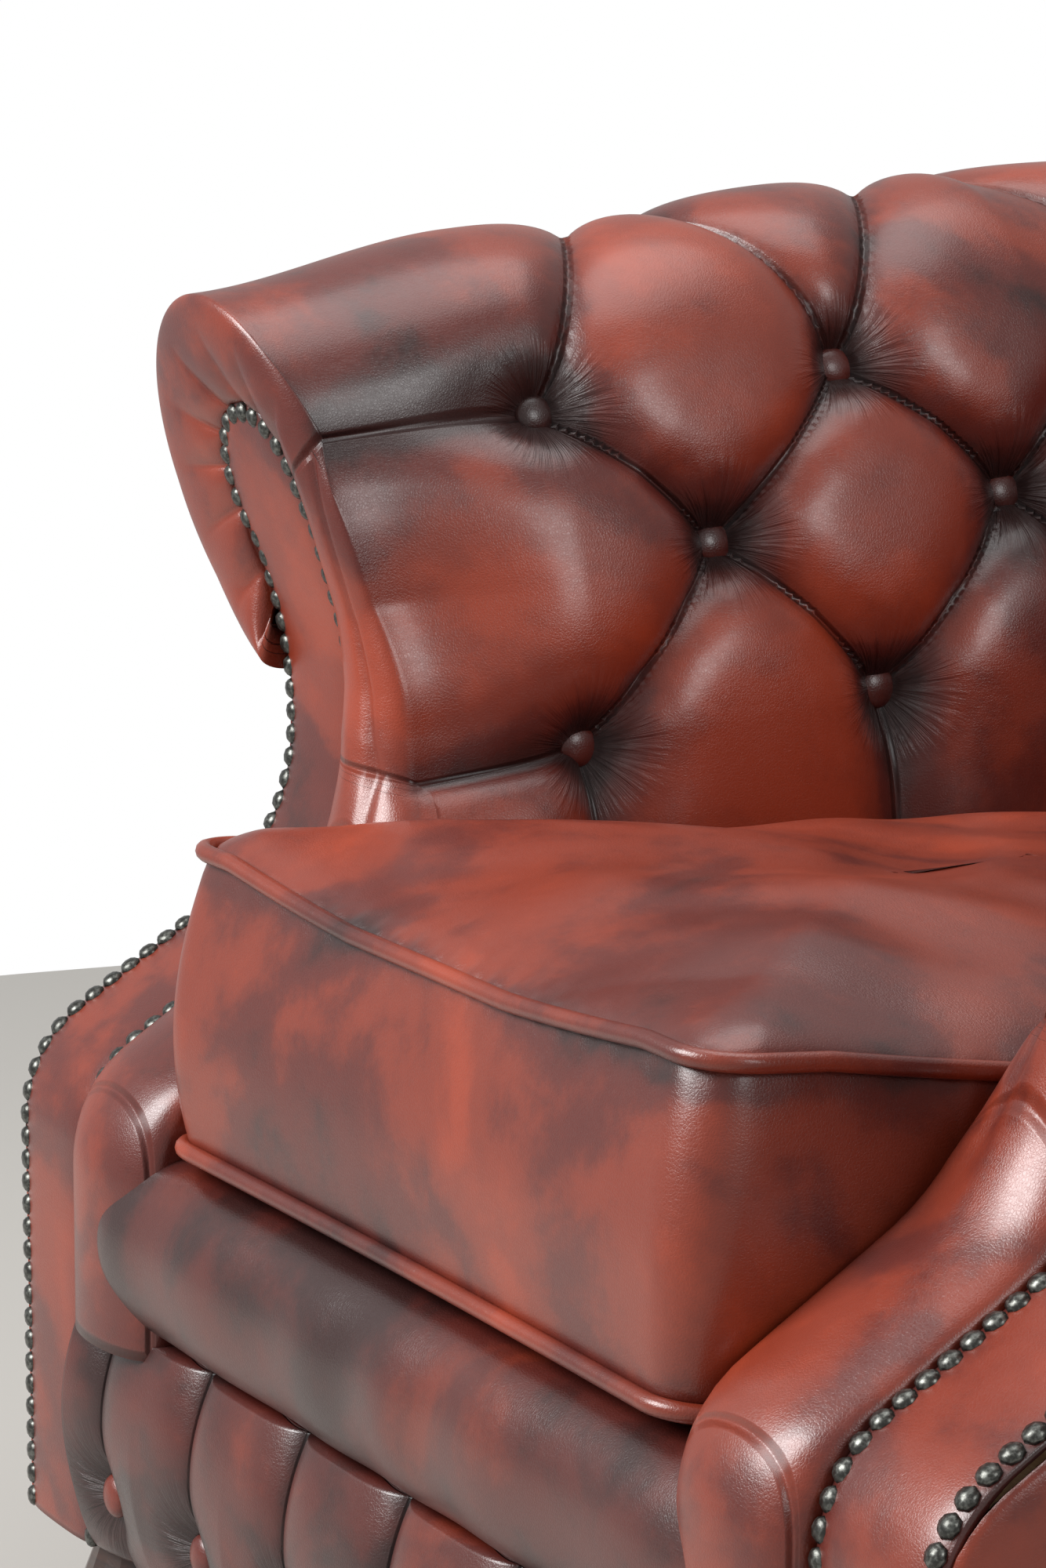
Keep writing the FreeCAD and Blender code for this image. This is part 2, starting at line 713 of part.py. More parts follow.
def flat_loft(rings, closed=False):
    """A loft of flat triangles through rings with as many corners each."""
    faces = []
    count = len(rings[0])
    follow_ups = rings[1:] + rings[:1] if closed else rings[1:]
    for first, second in zip(rings, follow_ups):
        for index in range(count):
            follow = (index + 1) % count
            for corners in ((first[index], first[follow], second[follow]),
                            (first[index], second[follow], second[index])):
                faces.append(Part.Face(Part.makePolygon(list(corners) + [corners[0]])))
    for ring in (() if closed else (rings[0], rings[-1])):
        faces.append(Part.Face(Part.makePolygon(ring + [ring[0]])))
    shell = Part.makeCompound(faces)
    shell.sewShape(0.001)
    solid = Part.makeSolid(Part.Shell(shell.Faces))
    if solid.Volume < 0.0:
        solid.reverse()
    return solid


def arm_stations():
    """Depths and kinds of the sections along one arm, front first."""
    first = size("first_button").number
    half_pitch = size("arm_pitch").number / 2.0
    stations = [(-30.0, "edge"), (92.0, "edge")]
    kinds = ("low", "high")
    for index in range(4):
        stations.append((first + half_pitch * index, kinds[index % 2]))
        if index < 3:
            stations.append((first + half_pitch * (index + 0.5), 0.5))
    return stations


def back_stations():
    """Widths and kinds of the sections across the back, from +X to -X."""
    half_pitch = size("back_pitch").number / 2.0
    stations = []
    for index in range(3, -4, -1):
        stations.append((half_pitch * index, "low" if index % 2 == 0 else "high"))
        if index > -3:
            stations.append((half_pitch * (index - 0.5), 0.5))
    return stations


def tuft_foot(distance):
    """Lower edge of the tufted leather, just above the platform."""
    lowest = max(distance, size("deck_start").number)
    return deck_at(lowest).number + size("fit_gap").number * 2.0 + 3.0


# Covered buttons and the pockets that they sit in

def dome(radius, height, base, normal):
    """A covered button: an eight-sided crown that narrows towards its top."""
    rings = []
    for level, reach in ((0.0, radius), (height * 0.4, radius), (height, radius * 0.6)):
        corners = [Vector(reach * math.cos(math.pi * turn / 4.0),
                          reach * math.sin(math.pi * turn / 4.0), level) for turn in range(9)]
        rings.append(Part.makePolygon(corners))
    solid = Part.makeLoft(rings, True, True)
    solid.Placement = FreeCAD.Placement(base, FreeCAD.Rotation(Vector(0, 0, 1), normal))
    return solid


def pocket(base, normal):
    radius = size("button_radius").number + size("fit_gap").number
    return Part.makeCylinder(radius, 60.0, base, normal)


def button_seats(kind, climb, place, rows):
    """Base point and outward direction of each button of a section."""
    deep = size("tuft_depth").number
    radius = size("roll_radius").number
    seats = []
    for row in rows:
        if row in "AZ":
            angle = size("row_a_angle" if row == "A" else "row_z_angle").number
            inner = on_roll(angle, radius - deep - 2.0, climb)
            outer = on_roll(angle, radius, climb)
        elif row == "B":
            height = size("row_b_height").number + climb
            inner = (size("row_b_lean").number + deep + 2.0, height)
            outer = (0.0, height + 8.0)
        else:
            height = size("row_c_height").number + climb
            inner = (size("row_c_lean").number + deep * 0.9 + 2.0, height)
            outer = (-20.0, height + 4.0)
        base = place(inner)
        seats.append((base, (place(outer) - base).normalize()))
    return seats


ROWS = {"low": "AC", "high": "ZB", "edge": ""}


def tufted_solid(stations):
    """A loft through its sections, with a pocket for each button."""
    rings = [section_ring(kind, climb, foot, place) for kind, climb, foot, place in stations]
    solid = flat_loft(rings)
    seats = []
    for kind, climb, foot, place in stations:
        if not isinstance(kind, float):
            seats.extend(button_seats(kind, climb, place, ROWS[kind]))
    for base, normal in seats:
        solid = solid.cut(pocket(base, normal))
    return solid, seats


def solid_node(label, shape):
    thing = doc.addObject("Part::Feature", label)
    thing.Shape = shape
    return node(label, thing)


def buttons_node(label, seats):
    radius = size("button_radius").number
    height = size("button_height").number
    lift = size("fit_gap").number
    solid_node(label, Part.makeCompound([dome(radius, height, base + normal * lift, normal)
                                         for base, normal in seats]))


def make_inside_arms():
    climb_end = back_lift.number
    foot_end = tuft_foot(straight_end.number)
    for side, sign in SIDES:
        stations = []
        for distance, kind in arm_stations():
            climb = lift_at(max(distance, 92.0)).number
            stations.append((kind, climb, tuft_foot(distance), arm_place(sign, distance)))
        for angle, share in ((0.0, 0.3), (15.0, 0.6), (30.0, 0.85)):
            stations.append((share, climb_end, foot_end, corner_place(sign, angle)))
        stations.append(("low", climb_end, foot_end, corner_place(sign, 45.0)))
        solid, seats = tufted_solid(stations)
        proud = size("edge_roll_proud")
        region = sweep_points(proud, 2.0)
        region += [(depth(900.0), region[-1][1]), (depth(900.0), region[0][1])]
        bends = sweep_bends(proud)
        bends.pop(4)
        front = pad_across("arm_front_region_" + side, side_range(sign, 200.0, 600.0), region, bends)
        doc.recompute()
        shape = solid.common(front.Shape)
        solid_node("inside_arm_" + side, shape)
        buttons_node("arm_buttons_" + side, seats[:-2])
        corner_seats.extend(seats[-2:])
        doc.removeObject(front.Tip.Name)
        doc.removeObject("arm_front_region_%s_outline" % side)
        doc.removeObject(front.Name)


def make_inside_back():
    climb = back_lift.number
    foot = tuft_foot(straight_end.number)
    turns = ((60.0, 0.7), (75.0, 0.35))
    stations = [("low", climb, foot, corner_place(1.0, 45.0))]
    stations += [(share, climb, foot, corner_place(1.0, angle)) for angle, share in turns]
    stations += [(kind, climb, foot, back_place(x)) for x, kind in back_stations()]
    stations += [(share, climb, foot, corner_place(-1.0, angle))
                 for angle, share in reversed(turns)]
    stations.append(("low", climb, foot, corner_place(-1.0, 45.0)))
    solid, seats = tufted_solid(stations)
    solid_node("inside_back", solid)
    buttons_node("back_buttons", seats)


corner_seats = []
make_inside_arms()
make_inside_back()


# Stuffing of the rolls

def roll_core(climb, place):
    """The round section of the roll's stuffing, under the tufted layer."""
    sides = int(size("core_sides").number)
    radius = core_radius.number - size("fit_gap").number * 6.0
    reach = radius * math.cos(math.radians(57.0 / size("arc_chords").number))
    return [place(on_core(360.0 * index / sides, reach, climb)) for index in range(sides)]


def make_roll_cores():
    climb = back_lift.number
    margin = math.degrees(size("fit_gap").number / 400.0)
    rear = -size("facing_thickness") - size("post_thickness") - size("fit_gap")
    for side, sign in SIDES:
        rings = [roll_core(lift_at(92.0).number, arm_place(sign, 92.0))]
        for angle in (0.0, 15.0, 30.0, 45.0 - margin):
            rings.append(roll_core(climb, corner_place(sign, angle)))
        region = sweep_points(rear)
        region += [(depth(900.0), region[-1][1]), (depth(900.0), region[0][1])]
        behind = pad_across("core_region_" + side, side_range(sign, 200.0, 600.0), region,
                            sweep_bends(rear))
        doc.recompute()
        solid_node("arm_roll_core_" + side,
                   flat_loft(rings).common(behind.Shape))
        doc.removeObject(behind.Tip.Name)
        doc.removeObject("core_region_%s_outline" % side)
        doc.removeObject(behind.Name)
    turns = (45.0 + margin, 60.0, 75.0, 90.0)
    rings = [roll_core(climb, corner_place(1.0, angle)) for angle in turns]
    rings += [roll_core(climb, corner_place(-1.0, angle)) for angle in reversed(turns)]
    solid_node("back_roll_core", flat_loft(rings))


doc.recompute()
make_roll_cores()


# Padded front edges and outside leather

def make_front_edges():
    """The stuffed edge of the inside arm, between the wall and the facing."""
    proud = size("edge_roll_proud")
    inner = size("seat_half_width") + size("wall_thickness") + size("fit_gap") * 2.0
    outer = size("facing_inner") - size("fit_gap")
    low = size("deck_height") + size("fit_gap") * 2.0 + 3.0
    slope_low = size("row_c_height") - 10.0
    for side, sign in SIDES:
        band = sweep_band("edge_sweep_" + side, side_range(sign, inner - 20.0, outer + 20.0),
                          proud, -size("facing_thickness") + size("fit_gap"))
        outline = pad_through("edge_outline_" + side, (depth(-80.0), depth(260.0)),
                              [((inner + 2.0) * sign, low), (outer * sign, low),
                               (outer * sign, slope_low + 132.0),
                               ((inner + 2.5) * sign, slope_low)], {})
        node("front_edge_" + side, boolean("Common", "front_edge_" + side, outline, band))


def make_outside_leather():
    top = size("roll_height") - size("roll_radius") - 0.5
    inner = post_outer
    outer = size("seat_half_width") + size("panel_offset")
    floor = size("base_height")
    for side, sign in SIDES:
        climb_front = lift_at(130.0)
        corners = sweep_points(0.0)[:5]
        corners[0] = (corners[0][0], floor)
        corners.append((corners[4][0], top + climb_front))
        corners.append((depth(straight_end), top + back_lift))
        corners.append((depth(straight_end), floor))
        bends = sweep_bends(0.0)
        bends.pop(4)
        panel = pad_across("outside_panel_" + side, side_range(sign, inner, outer), corners, bends)
        centre = straight_half * sign
        body = doc.addObject("PartDesign::Body", "outside_corner_" + side)
        sketch = sketch_on(body, "XZ_Plane", "outside_corner_outline_" + side)
        near = (inner - straight_half) * sign
        far = (outer - straight_half) * sign
        draw_outline(sketch, [(near, floor), (far, floor), (far, top + back_lift),
                              (near, top + back_lift)], {})
        turn = body.newObject("PartDesign::Revolution", "outside_corner_turn_" + side)
        turn.Profile = sketch
        turn.ReferenceAxis = (sketch, ["V_Axis"])
        turn.Angle = 90.0
        turn.Reversed = sign < 0
        body.Tip = turn
        bind(body, "Placement.Base.x", centre)
        bind(body, "Placement.Base.y", depth(straight_end))
        node("outside_arm_" + side, boolean("Fuse", "outside_arm_" + side, panel, body))
    inner_y = size("seat_depth") + size("panel_offset") - size("panel_thickness")
    board("outside_back", (-straight_half, straight_half),
          (depth(inner_y), depth(inner_y + size("panel_thickness"))), (floor, top + back_lift))


make_front_edges()
make_outside_leather()


# Front roll and buttoned border

border_back = size("sweep_foot") + size("facing_thickness") - size("fit_gap")
border_reach = size("facing_inner") - size("fit_gap")


def make_front_roll():
    proud = depth(-size("border_proud"))
    top = size("deck_height") - 0.5
    seam = size("seam_height")
    rear = size("deck_start") - size("fit_gap")
    corners = [(depth(border_back), seam), (proud, (seam + top) * 0.5 - 4.0), (depth(4.0), top),
               (depth(rear), top), (depth(rear), rail_top + size("fit_gap")),
               (depth(border_back), rail_top + size("fit_gap"))]
    roll = pad_across("front_roll_blank", (-border_reach, border_reach), corners,
                      {0: (46.0, -1), 1: (47.0, -1)})
    for side, sign in SIDES:
        notch = board("roll_notch_" + side, side_range(sign, post_inner - size("fit_gap"), 400.0),
                      (depth(border_back), depth(60.0)), (rail_top, size("deck_height") + 10.0),
                      keep=False)
        roll = boolean("Cut", "front_roll" if sign < 0 else "front_roll_cut", roll, notch)
    node("front_roll", roll)


def border_section(kind, x):
    """One section of the buttoned border: a low one runs through a button."""
    back = depth(border_back).number
    crest = depth(-size("border_proud")).number
    foot = size("base_height").number
    top = size("seam_height").number - size("fit_gap").number
    height = size("border_button_height").number
    inset = size("border_button_depth").number
    if kind == "low":
        middle = (crest + inset, height)
        lower = (crest + inset - 3.0, (foot + height) / 2.0)
        upper = (crest + inset * 0.6, (top + height) / 2.0)
    else:
        middle = (crest - 1.0, height)
        lower = (crest + 4.0, (foot + height) / 2.0)
        upper = (crest + 1.0, (top + height) / 2.0 + 6.0)
    spots = [(back, foot), (back + -12.0, foot), middle, (back - 7.0, top), (back, top)]
    first, second, third, fourth, fifth = (Vector(x, y, z) for y, z in spots)
    chords = int(size("arc_chords").number)
    belly = Part.Arc(second, Vector(x, lower[0], lower[1]), third).toShape()
    brow = Part.Arc(third, Vector(x, upper[0], upper[1]), fourth).toShape()
    return [first] + belly.discretize(chords + 1)[:-1] + brow.discretize(chords + 1) + [fifth]


def make_front_border():
    pitch = size("border_pitch").number
    count = int(border_reach.number // pitch)
    stations = [(-border_reach.number, "high")]
    seats = []
    for index in range(-count, count + 1):
        middle = pitch * index
        if index > -count:
            stations.append((middle - pitch / 2.0, "high"))
        stations.append((middle, "low"))
        base = Vector(middle, depth(-size("border_proud") + size("border_button_depth")).number,
                      size("border_button_height").number)
        seats.append((base + Vector(0, 2.0, 0), Vector(0, -1, 0)))
    stations.append((border_reach.number, "high"))
    solid = flat_loft([border_section(kind, x) for x, kind in stations])
    for base, normal in seats:
        solid = solid.cut(pocket(base, normal))
    solid_node("front_border", solid)
    buttons_node("border_buttons", seats)


make_front_roll()
make_front_border()


# Seat: webbing, springs, hessian and platform

def make_webbing():
    width = size("web_width")
    thick = size("web_thickness")
    reach_x = post_inner + size("rail_thickness") / 2.0
    near = rail_front + 8.0
    far = back_rail_front + 18.0
    strips = []
    for index in range(5):
        middle = near + 70.0 + (far - near - 140.0) * (index / 4.0)
        strips.append(board("web_across_%d" % (index + 1), (-reach_x, reach_x),
                            (depth(middle - width / 2.0), depth(middle + width / 2.0)),
                            (size("base_height") - thick, size("base_height")), keep=False))
    for index in range(-2, 3):
        middle = size("spring_pitch_x") * (index * 0.58)
        strips.append(board("web_along_%d" % (index + 3),
                            (middle - width / 2.0, middle + width / 2.0),
                            (depth(near), depth(far)),
                            (size("base_height") - thick * 2.0, size("base_height") - thick),
                            keep=False))
    group = doc.addObject("Part::Compound", "seat_webbing")
    group.Links = strips
    node("seat_webbing", group)
    board("dust_cover", (-reach_x, reach_x), (depth(near), depth(far)),
          (size("base_height") - thick * 2.0 - size("dust_thickness"),
           size("base_height") - thick * 2.0))


def round_ring(x, y, radius, height, count="core_sides"):
    """Corners of a level circle."""
    sides = int(size(count).number)
    turns = [2.0 * math.pi * index / sides for index in range(sides)]
    return [Vector(x + radius * math.cos(turn), y + radius * math.sin(turn), height)
            for turn in turns]


def make_springs():
    """Nine hourglass springs that stand on the webbing and carry the hessian."""
    coils = []
    thickness = size("deck_thickness") + size("hessian_thickness")
    radius = size("spring_radius")
    for row in range(3):
        place_y = size("first_spring") + size("spring_pitch_y") * row
        under = deck_at(place_y + radius) - thickness / cosine(size("seat_pitch"))
        for column in (-1, 0, 1):
            foot = size("base_height") + size("fit_gap")
            top = under - size("fit_gap") * 2.0
            middle = (foot + top) * 0.5
            waist = size("spring_waist")
            x = (size("spring_pitch_x") * column).number
            rings = [round_ring(x, depth(place_y).number, reach.number, level.number)
                     for reach, level in ((radius, foot), (waist, middle), (radius, top))]
            coils.append(flat_loft(rings))
    solid_node("seat_springs", Part.makeCompound(coils))


def pitched_slab(label, top_drop, thickness, reach, start, end):
    """A slab that falls back with the seat, top_drop below the platform's top."""
    drop = as_size(top_drop) / cosine(size("seat_pitch"))
    under = (as_size(top_drop) + thickness) / cosine(size("seat_pitch"))
    corners = [(depth(start), deck_at(start) - drop), (depth(start), deck_at(start) - under),
               (depth(end), deck_at(end) - under), (depth(end), deck_at(end) - drop)]
    return node(label, pad_across(label, (-as_size(reach), reach), corners, {}))


make_webbing()
make_springs()
pitched_slab("hessian", size("deck_thickness"), size("hessian_thickness") - size("fit_gap"),
             post_inner - 2.0, size("deck_start") + 6.0, back_rail_front - 6.0)
pitched_slab("seat_platform", 0.0, size("deck_thickness") - size("fit_gap"), post_inner - 0.6,
             size("deck_start"), back_rail_front - 0.6)


# Loose seat cushion: a crowned box with drawn-in sides, its core, cover and two pipings

def cushion_loop(inset, height, draw):
    """A plan outline of the cushion at one height: four drawn-in sides and round corners."""
    half = size("cushion_half_width").number - inset
    front = inset
    rear = size("cushion_depth").number - inset
    corner = max(size("cushion_corner").number - inset * 0.35, 12.0)
    cut = corner * (1.0 - math.sqrt(0.5))
    spots = [(-half + corner, front), (half - corner, front), (half, front + corner),
             (half, rear - corner), (half - corner, rear), (-half + corner, rear),
             (-half, rear - corner), (-half, front + corner)]
    mids = [(0.0, front + draw), (half - cut, front + cut), (half - draw, (front + rear) / 2.0),
            (half - cut, rear - cut), (0.0, rear - draw), (-half + cut, rear - cut),
            (-half + draw, (front + rear) / 2.0), (-half + cut, front + cut)]
    edges = []
    for index in range(8):
        start = Vector(spots[index][0], spots[index][1], height)
        middle = Vector(mids[index][0], mids[index][1], height)
        end = Vector(spots[(index + 1) % 8][0], spots[(index + 1) % 8][1], height)
        edges.append(Part.Arc(start, middle, end).toShape())
    return Part.Wire(edges)


def cushion_form(skin):
    """The cushion's outer form, drawn in by a thickness of skin."""
    box = size("cushion_height").number
    crown = size("cushion_crown").number
    bulge = size("cushion_bulge").number
    draw = size("cushion_draw").number
    levels = [(22.0, -5.0, draw), (0.0, 0.0, draw), (-bulge * 0.8, box * 0.3, draw * 0.4),
              (-bulge, box * 0.6, draw * 0.3), (0.0, box, draw), (38.0, box + crown * 0.46, draw),
              (95.0, box + crown * 0.84, draw), (165.0, box + crown, 1.0)]
    loops = []
    for inset, height, pull in levels:
        raised = height + skin if height < box * 0.5 else height - skin
        if abs(height - box * 0.3) < 1.0 or abs(height - box * 0.6) < 1.0:
            raised = height
        loop = cushion_loop(inset + skin, raised, pull)
        loops.append([point for edge in loop.Edges for point in edge.discretize(4)[:-1]])
    return flat_loft(loops)


def cushion_placement():
    """The cushion sits on the platform and falls back with it."""
    pitch = size("seat_pitch").number
    front = size("cushion_front").number
    bottom = deck_at(front).number + 5.0 + size("fit_gap").number + 1.2
    return FreeCAD.Placement(Vector(0, depth(front).number, bottom),
                             FreeCAD.Rotation(Vector(1, 0, 0), -pitch))


def piping_ring(height):
    """The piping follows the seam just outside the cover."""
    radius = size("piping_radius").number
    path = cushion_loop(-radius - size("fit_gap").number, height, size("cushion_draw").number)
    chords = int(size("arc_chords").number)
    rings = []
    for edge in path.Edges:
        first, last = edge.ParameterRange
        for index in range(chords):
            place = first + (last - first) * index / chords
            centre = edge.valueAt(place)
            along = edge.tangentAt(place)
            side = Vector(along.y, -along.x, 0.0)
            rings.append([centre + side * (radius * math.cos(turn))
                          + Vector(0, 0, radius * math.sin(turn))
                          for turn in (math.pi * index / 4.0 for index in range(8))])
    return flat_loft(rings, closed=True)


def make_cushion():
    place = cushion_placement()
    gap = size("fit_gap").number
    skin = size("cushion_skin").number
    outer = cushion_form(0.0)
    cavity = cushion_form(skin)
    core = cushion_form(skin + gap)
    box = size("cushion_height").number
    shapes = {"cushion_cover": outer.cut(cavity), "cushion_core": core,
              "cushion_top_piping": piping_ring(box), "cushion_bottom_piping": piping_ring(0.0)}
    for label, shape in shapes.items():
        shape.Placement = place.multiply(shape.Placement)
        solid_node(label, shape)


make_cushion()


# Feet and glides

def make_feet():
    glides = []
    thick = size("glide_thickness")
    top = size("base_height")
    belly = (top + thick) * 0.52
    for place, x, y in (("front", size("foot_front_x"), size("foot_front_y")),
                        ("rear", size("foot_rear_x"), size("foot_rear_y"))):
        for side, sign in SIDES:
            radius = size("foot_radius")
            neck = size("foot_neck")
            toe = size("foot_toe")
            middle = ((x * sign).number, depth(y).number)
            rings = [round_ring(middle[0], middle[1], reach.number, level.number, "foot_sides")
                     for reach, level in ((toe, thick), (radius, belly), (neck, top))]
            solid_node("foot_%s_%s" % (place, side), flat_loft(rings))
            disc = doc.addObject("Part::Cylinder", "glide_%s_%s" % (place, side))
            bind(disc, "Radius", size("glide_radius"))
            bind(disc, "Height", thick)
            bind(disc, "Placement.Base.x", x * sign)
            bind(disc, "Placement.Base.y", depth(y))
            glides.append(disc)
    group = doc.addObject("Part::Compound", "foot_glides")
    group.Links = glides
    node("foot_glides", group)


make_feet()
doc.recompute()


# Check every object, then write one file for each sub-part

for thing in doc.Objects:
    if "Invalid" in thing.State or "Error" in thing.State:
        raise RuntimeError("%s is not sound: %s" % (thing.Name, thing.State))
os.makedirs("parts", exist_ok=True)
for thing in nodes:
    shape = thing.Shape
    if shape.isNull() or not shape.isValid() or not shape.Solids:
        raise RuntimeError("%s has no valid shape" % thing.Label)
for thing in nodes:
    box = thing.Shape.BoundBox
    print("%-28s %2d solids %8.3f l  X %.1f %.1f  Y %.1f %.1f  Z %.1f %.1f" % (
        thing.Label, len(thing.Shape.Solids), thing.Shape.Volume / 1e6,
        box.XMin, box.XMax, box.YMin, box.YMax, box.ZMin, box.ZMax))
    thing.Shape.exportStep("parts/%s.step" % thing.Label)
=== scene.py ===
"""Chesterfield armchair: buttoned leather, nails, piping and a loose cushion around its frame."""

import math

import bmesh
import bpy
import numpy as np
from mathutils import Matrix, Vector


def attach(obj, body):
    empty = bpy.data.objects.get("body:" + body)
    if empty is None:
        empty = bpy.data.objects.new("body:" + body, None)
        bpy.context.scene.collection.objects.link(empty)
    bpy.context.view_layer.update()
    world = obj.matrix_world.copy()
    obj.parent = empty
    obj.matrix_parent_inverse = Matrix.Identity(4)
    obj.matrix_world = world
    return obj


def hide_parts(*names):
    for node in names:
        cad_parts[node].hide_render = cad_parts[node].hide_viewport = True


bl_info = {
    "name": "Chesterfield Armchair",
    "version": (1, 0, 0),
    "blender": (4, 5, 0),
    "location": "View3D > Sidebar > Armchair",
    "description": "Dresses an armchair frame in deep-buttoned leather with nails and piping",
    "category": "Add Mesh",
}

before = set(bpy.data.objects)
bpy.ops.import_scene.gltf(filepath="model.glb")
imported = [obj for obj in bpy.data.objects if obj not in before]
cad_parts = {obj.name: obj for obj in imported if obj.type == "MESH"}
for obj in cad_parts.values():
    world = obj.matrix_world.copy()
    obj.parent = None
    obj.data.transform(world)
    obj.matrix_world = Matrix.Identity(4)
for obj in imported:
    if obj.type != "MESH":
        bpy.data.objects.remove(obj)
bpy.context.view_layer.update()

MM = 0.001
SIDES = (("left", 1.0), ("right", -1.0))
BODY = "frame"
CUSHION = "seat_cushion"


# Sizes and colours that a user would change

def length(name, description, default):
    return bpy.props.FloatProperty(name=name, description=description, default=default,
                                   unit="LENGTH")


def tint(name, description, default):
    return bpy.props.FloatVectorProperty(name=name, description=description, default=default,
                                         subtype="COLOR", size=3, min=0.0, max=1.0)


class UpholsterySizes(bpy.types.PropertyGroup):
    front_plane: length("Front plane", "Front reference plane, along Y", -0.40514)
    seat_half_width: length(
        "Half seat width", "Middle of the seat to the inside arm", 0.258)
    seat_depth: length("Seat depth", "Front plane to the inside back", 0.560)
    corner_radius: length(
        "Corner radius", "Turn between inside arm and inside back", 0.030)
    roll_height: length("Roll height", "Floor to the middle of the rolled top", 0.610)
    roll_radius: length("Roll radius", "Outside radius of the rolled top", 0.118)
    first_button: length(
        "First button", "Front plane to the first button of the top row", 0.238)
    arm_pitch: length(
        "Arm button pitch", "Between buttons of a row along the arm", 0.1785)
    back_pitch: length(
        "Back button pitch", "Between buttons of a row across the back", 0.150)
    fold_depth: length(
        "Fold depth", "Crest of a tuft to the fold half way between buttons", 0.0150)
    button_depth: length(
        "Button depth", "Crest of a tuft to the seat of a button", 0.034)
    button_radius: length("Button radius", "Radius of a covered button", 0.0112)
    nail_radius: length("Nail radius", "Radius of a domed nail head", 0.0058)
    nail_pitch: length("Nail pitch", "Between neighbouring nails", 0.0121)
    border_pitch: length("Border pitch", "Between buttons of the front border", 0.1065)
    piping_radius: length("Piping radius", "Radius of the cushion's piping", 0.0044)
    cushion_crown: length(
        "Cushion crown", "Rise of the cushion above its top seam", 0.056)


class UpholsteryColours(bpy.types.PropertyGroup):
    leather_bright: tint(
        "Rubbed leather", "Colour where the finish is rubbed through", (0.270, 0.036, 0.012))
    leather_middle: tint("Leather", "Main colour of the leather", (0.098, 0.014, 0.009))
    # The dark colour serves both the dark glaze, spread at random, and painted shade in folds,
    # hollows and under the cushion.
    leather_dark_and_shade: tint("Antiqued leather", "Colour of the dark glaze and of painted shade", (0.028, 0.008, 0.007))
    nail_colour: tint("Nails", "Colour of the nail heads", (0.055, 0.055, 0.050))
    foot_colour: tint("Feet", "Colour of the stained feet", (0.060, 0.022, 0.012))
    beech_colour: tint("Beech", "Colour of the bare frame", (0.55, 0.36, 0.20))
    lining_colour: tint(
        "Lining", "Colour of the deck and bottom cloths", (0.030, 0.022, 0.020))


def sizes():
    return bpy.context.scene.armchair_sizes


def colours():
    return bpy.context.scene.armchair_colours


# Shader maths

class Tree:
    """A material's nodes, made one at a time."""

    def __init__(self, name):
        self.material = bpy.data.materials.new(name)
        self.material.use_nodes = True
        self.nodes = self.material.node_tree.nodes
        self.links = self.material.node_tree.links
        self.nodes.clear()
        self.shader = self.node("ShaderNodeBsdfPrincipled")
        output = self.node("ShaderNodeOutputMaterial")
        self.links.new(self.shader.outputs["BSDF"], output.inputs["Surface"])

    def node(self, kind, settings=None, **inputs):
        """Adds a node: its settings first, then the values or links of its sockets."""
        made = self.nodes.new(kind)
        for key, value in (settings or {}).items():
            if key == "stops":
                self.stops(made.color_ramp, value)
            else:
                setattr(made, key, value)
        for key, value in inputs.items():
            self.feed(made, key, value)
        return made

    def stops(self, ramp, stops):
        while len(ramp.elements) > 1:
            ramp.elements.remove(ramp.elements[-1])
        ramp.elements[0].position = stops[0][0]
        ramp.elements[0].color = stops[0][1]
        for place, colour in stops[1:]:
            ramp.elements.new(place).color = colour

    def feed(self, node, key, value):
        """Links or sets a socket, named by its label, or by its number after a first _."""
        index = int(key[1:]) if key.startswith("_") else key.replace("_", " ")
        socket = node.inputs[index]
        if isinstance(value, Value):
            value = value.socket
        if isinstance(value, bpy.types.NodeSocket):
            self.links.new(value, socket)
        else:
            socket.default_value = value

    def finish(self, **inputs):
        """Feeds the shader and hands over the material."""
        for key, value in inputs.items():
            self.feed(self.shader, key, value)
        return self.material

    def place(self):
        return self.node("ShaderNodeTexCoord").outputs["Object"]

    def scaled(self, vector, scale):
        return self.node("ShaderNodeMapping", None, Vector=vector, Scale=scale).outputs["Vector"]

    def axes(self, vector):
        split = self.node("ShaderNodeSeparateXYZ", None, Vector=vector)
        return [Value(self, split.outputs[axis]) for axis in "XYZ"]

    def noise(self, vector, scale, detail=3.0, roughness=0.5, distortion=0.0):
        made = self.node("ShaderNodeTexNoise", None, Vector=vector, Scale=scale, Detail=detail,
                         Roughness=roughness, Distortion=distortion)
        return Value(self, made.outputs["Fac"])

    def ramp(self, factor, *stops):
        made = self.node("ShaderNodeValToRGB", {"stops": stops}, Fac=factor)
        made.color_ramp.interpolation = "EASE"
        return made.outputs["Color"]

    def spread(self, factor, low, high):
        """Smooth 0 to 1 between two values."""
        made = self.node("ShaderNodeMapRange", {"interpolation_type": "SMOOTHSTEP"},
                         Value=factor, From_Min=low, From_Max=high)
        return Value(self, made.outputs["Result"])

    def mix(self, factor, first, second):
        made = self.node("ShaderNodeMix", {"data_type": "RGBA"},
                         Factor=factor, _6=first, _7=second)
        return made.outputs[2]

    def bump(self, height, strength, distance, normal=None):
        made = self.node("ShaderNodeBump", None, Height=height, Strength=strength,
                         Distance=distance)
        if normal is not None:
            self.feed(made, "Normal", normal)
        return made.outputs["Normal"]


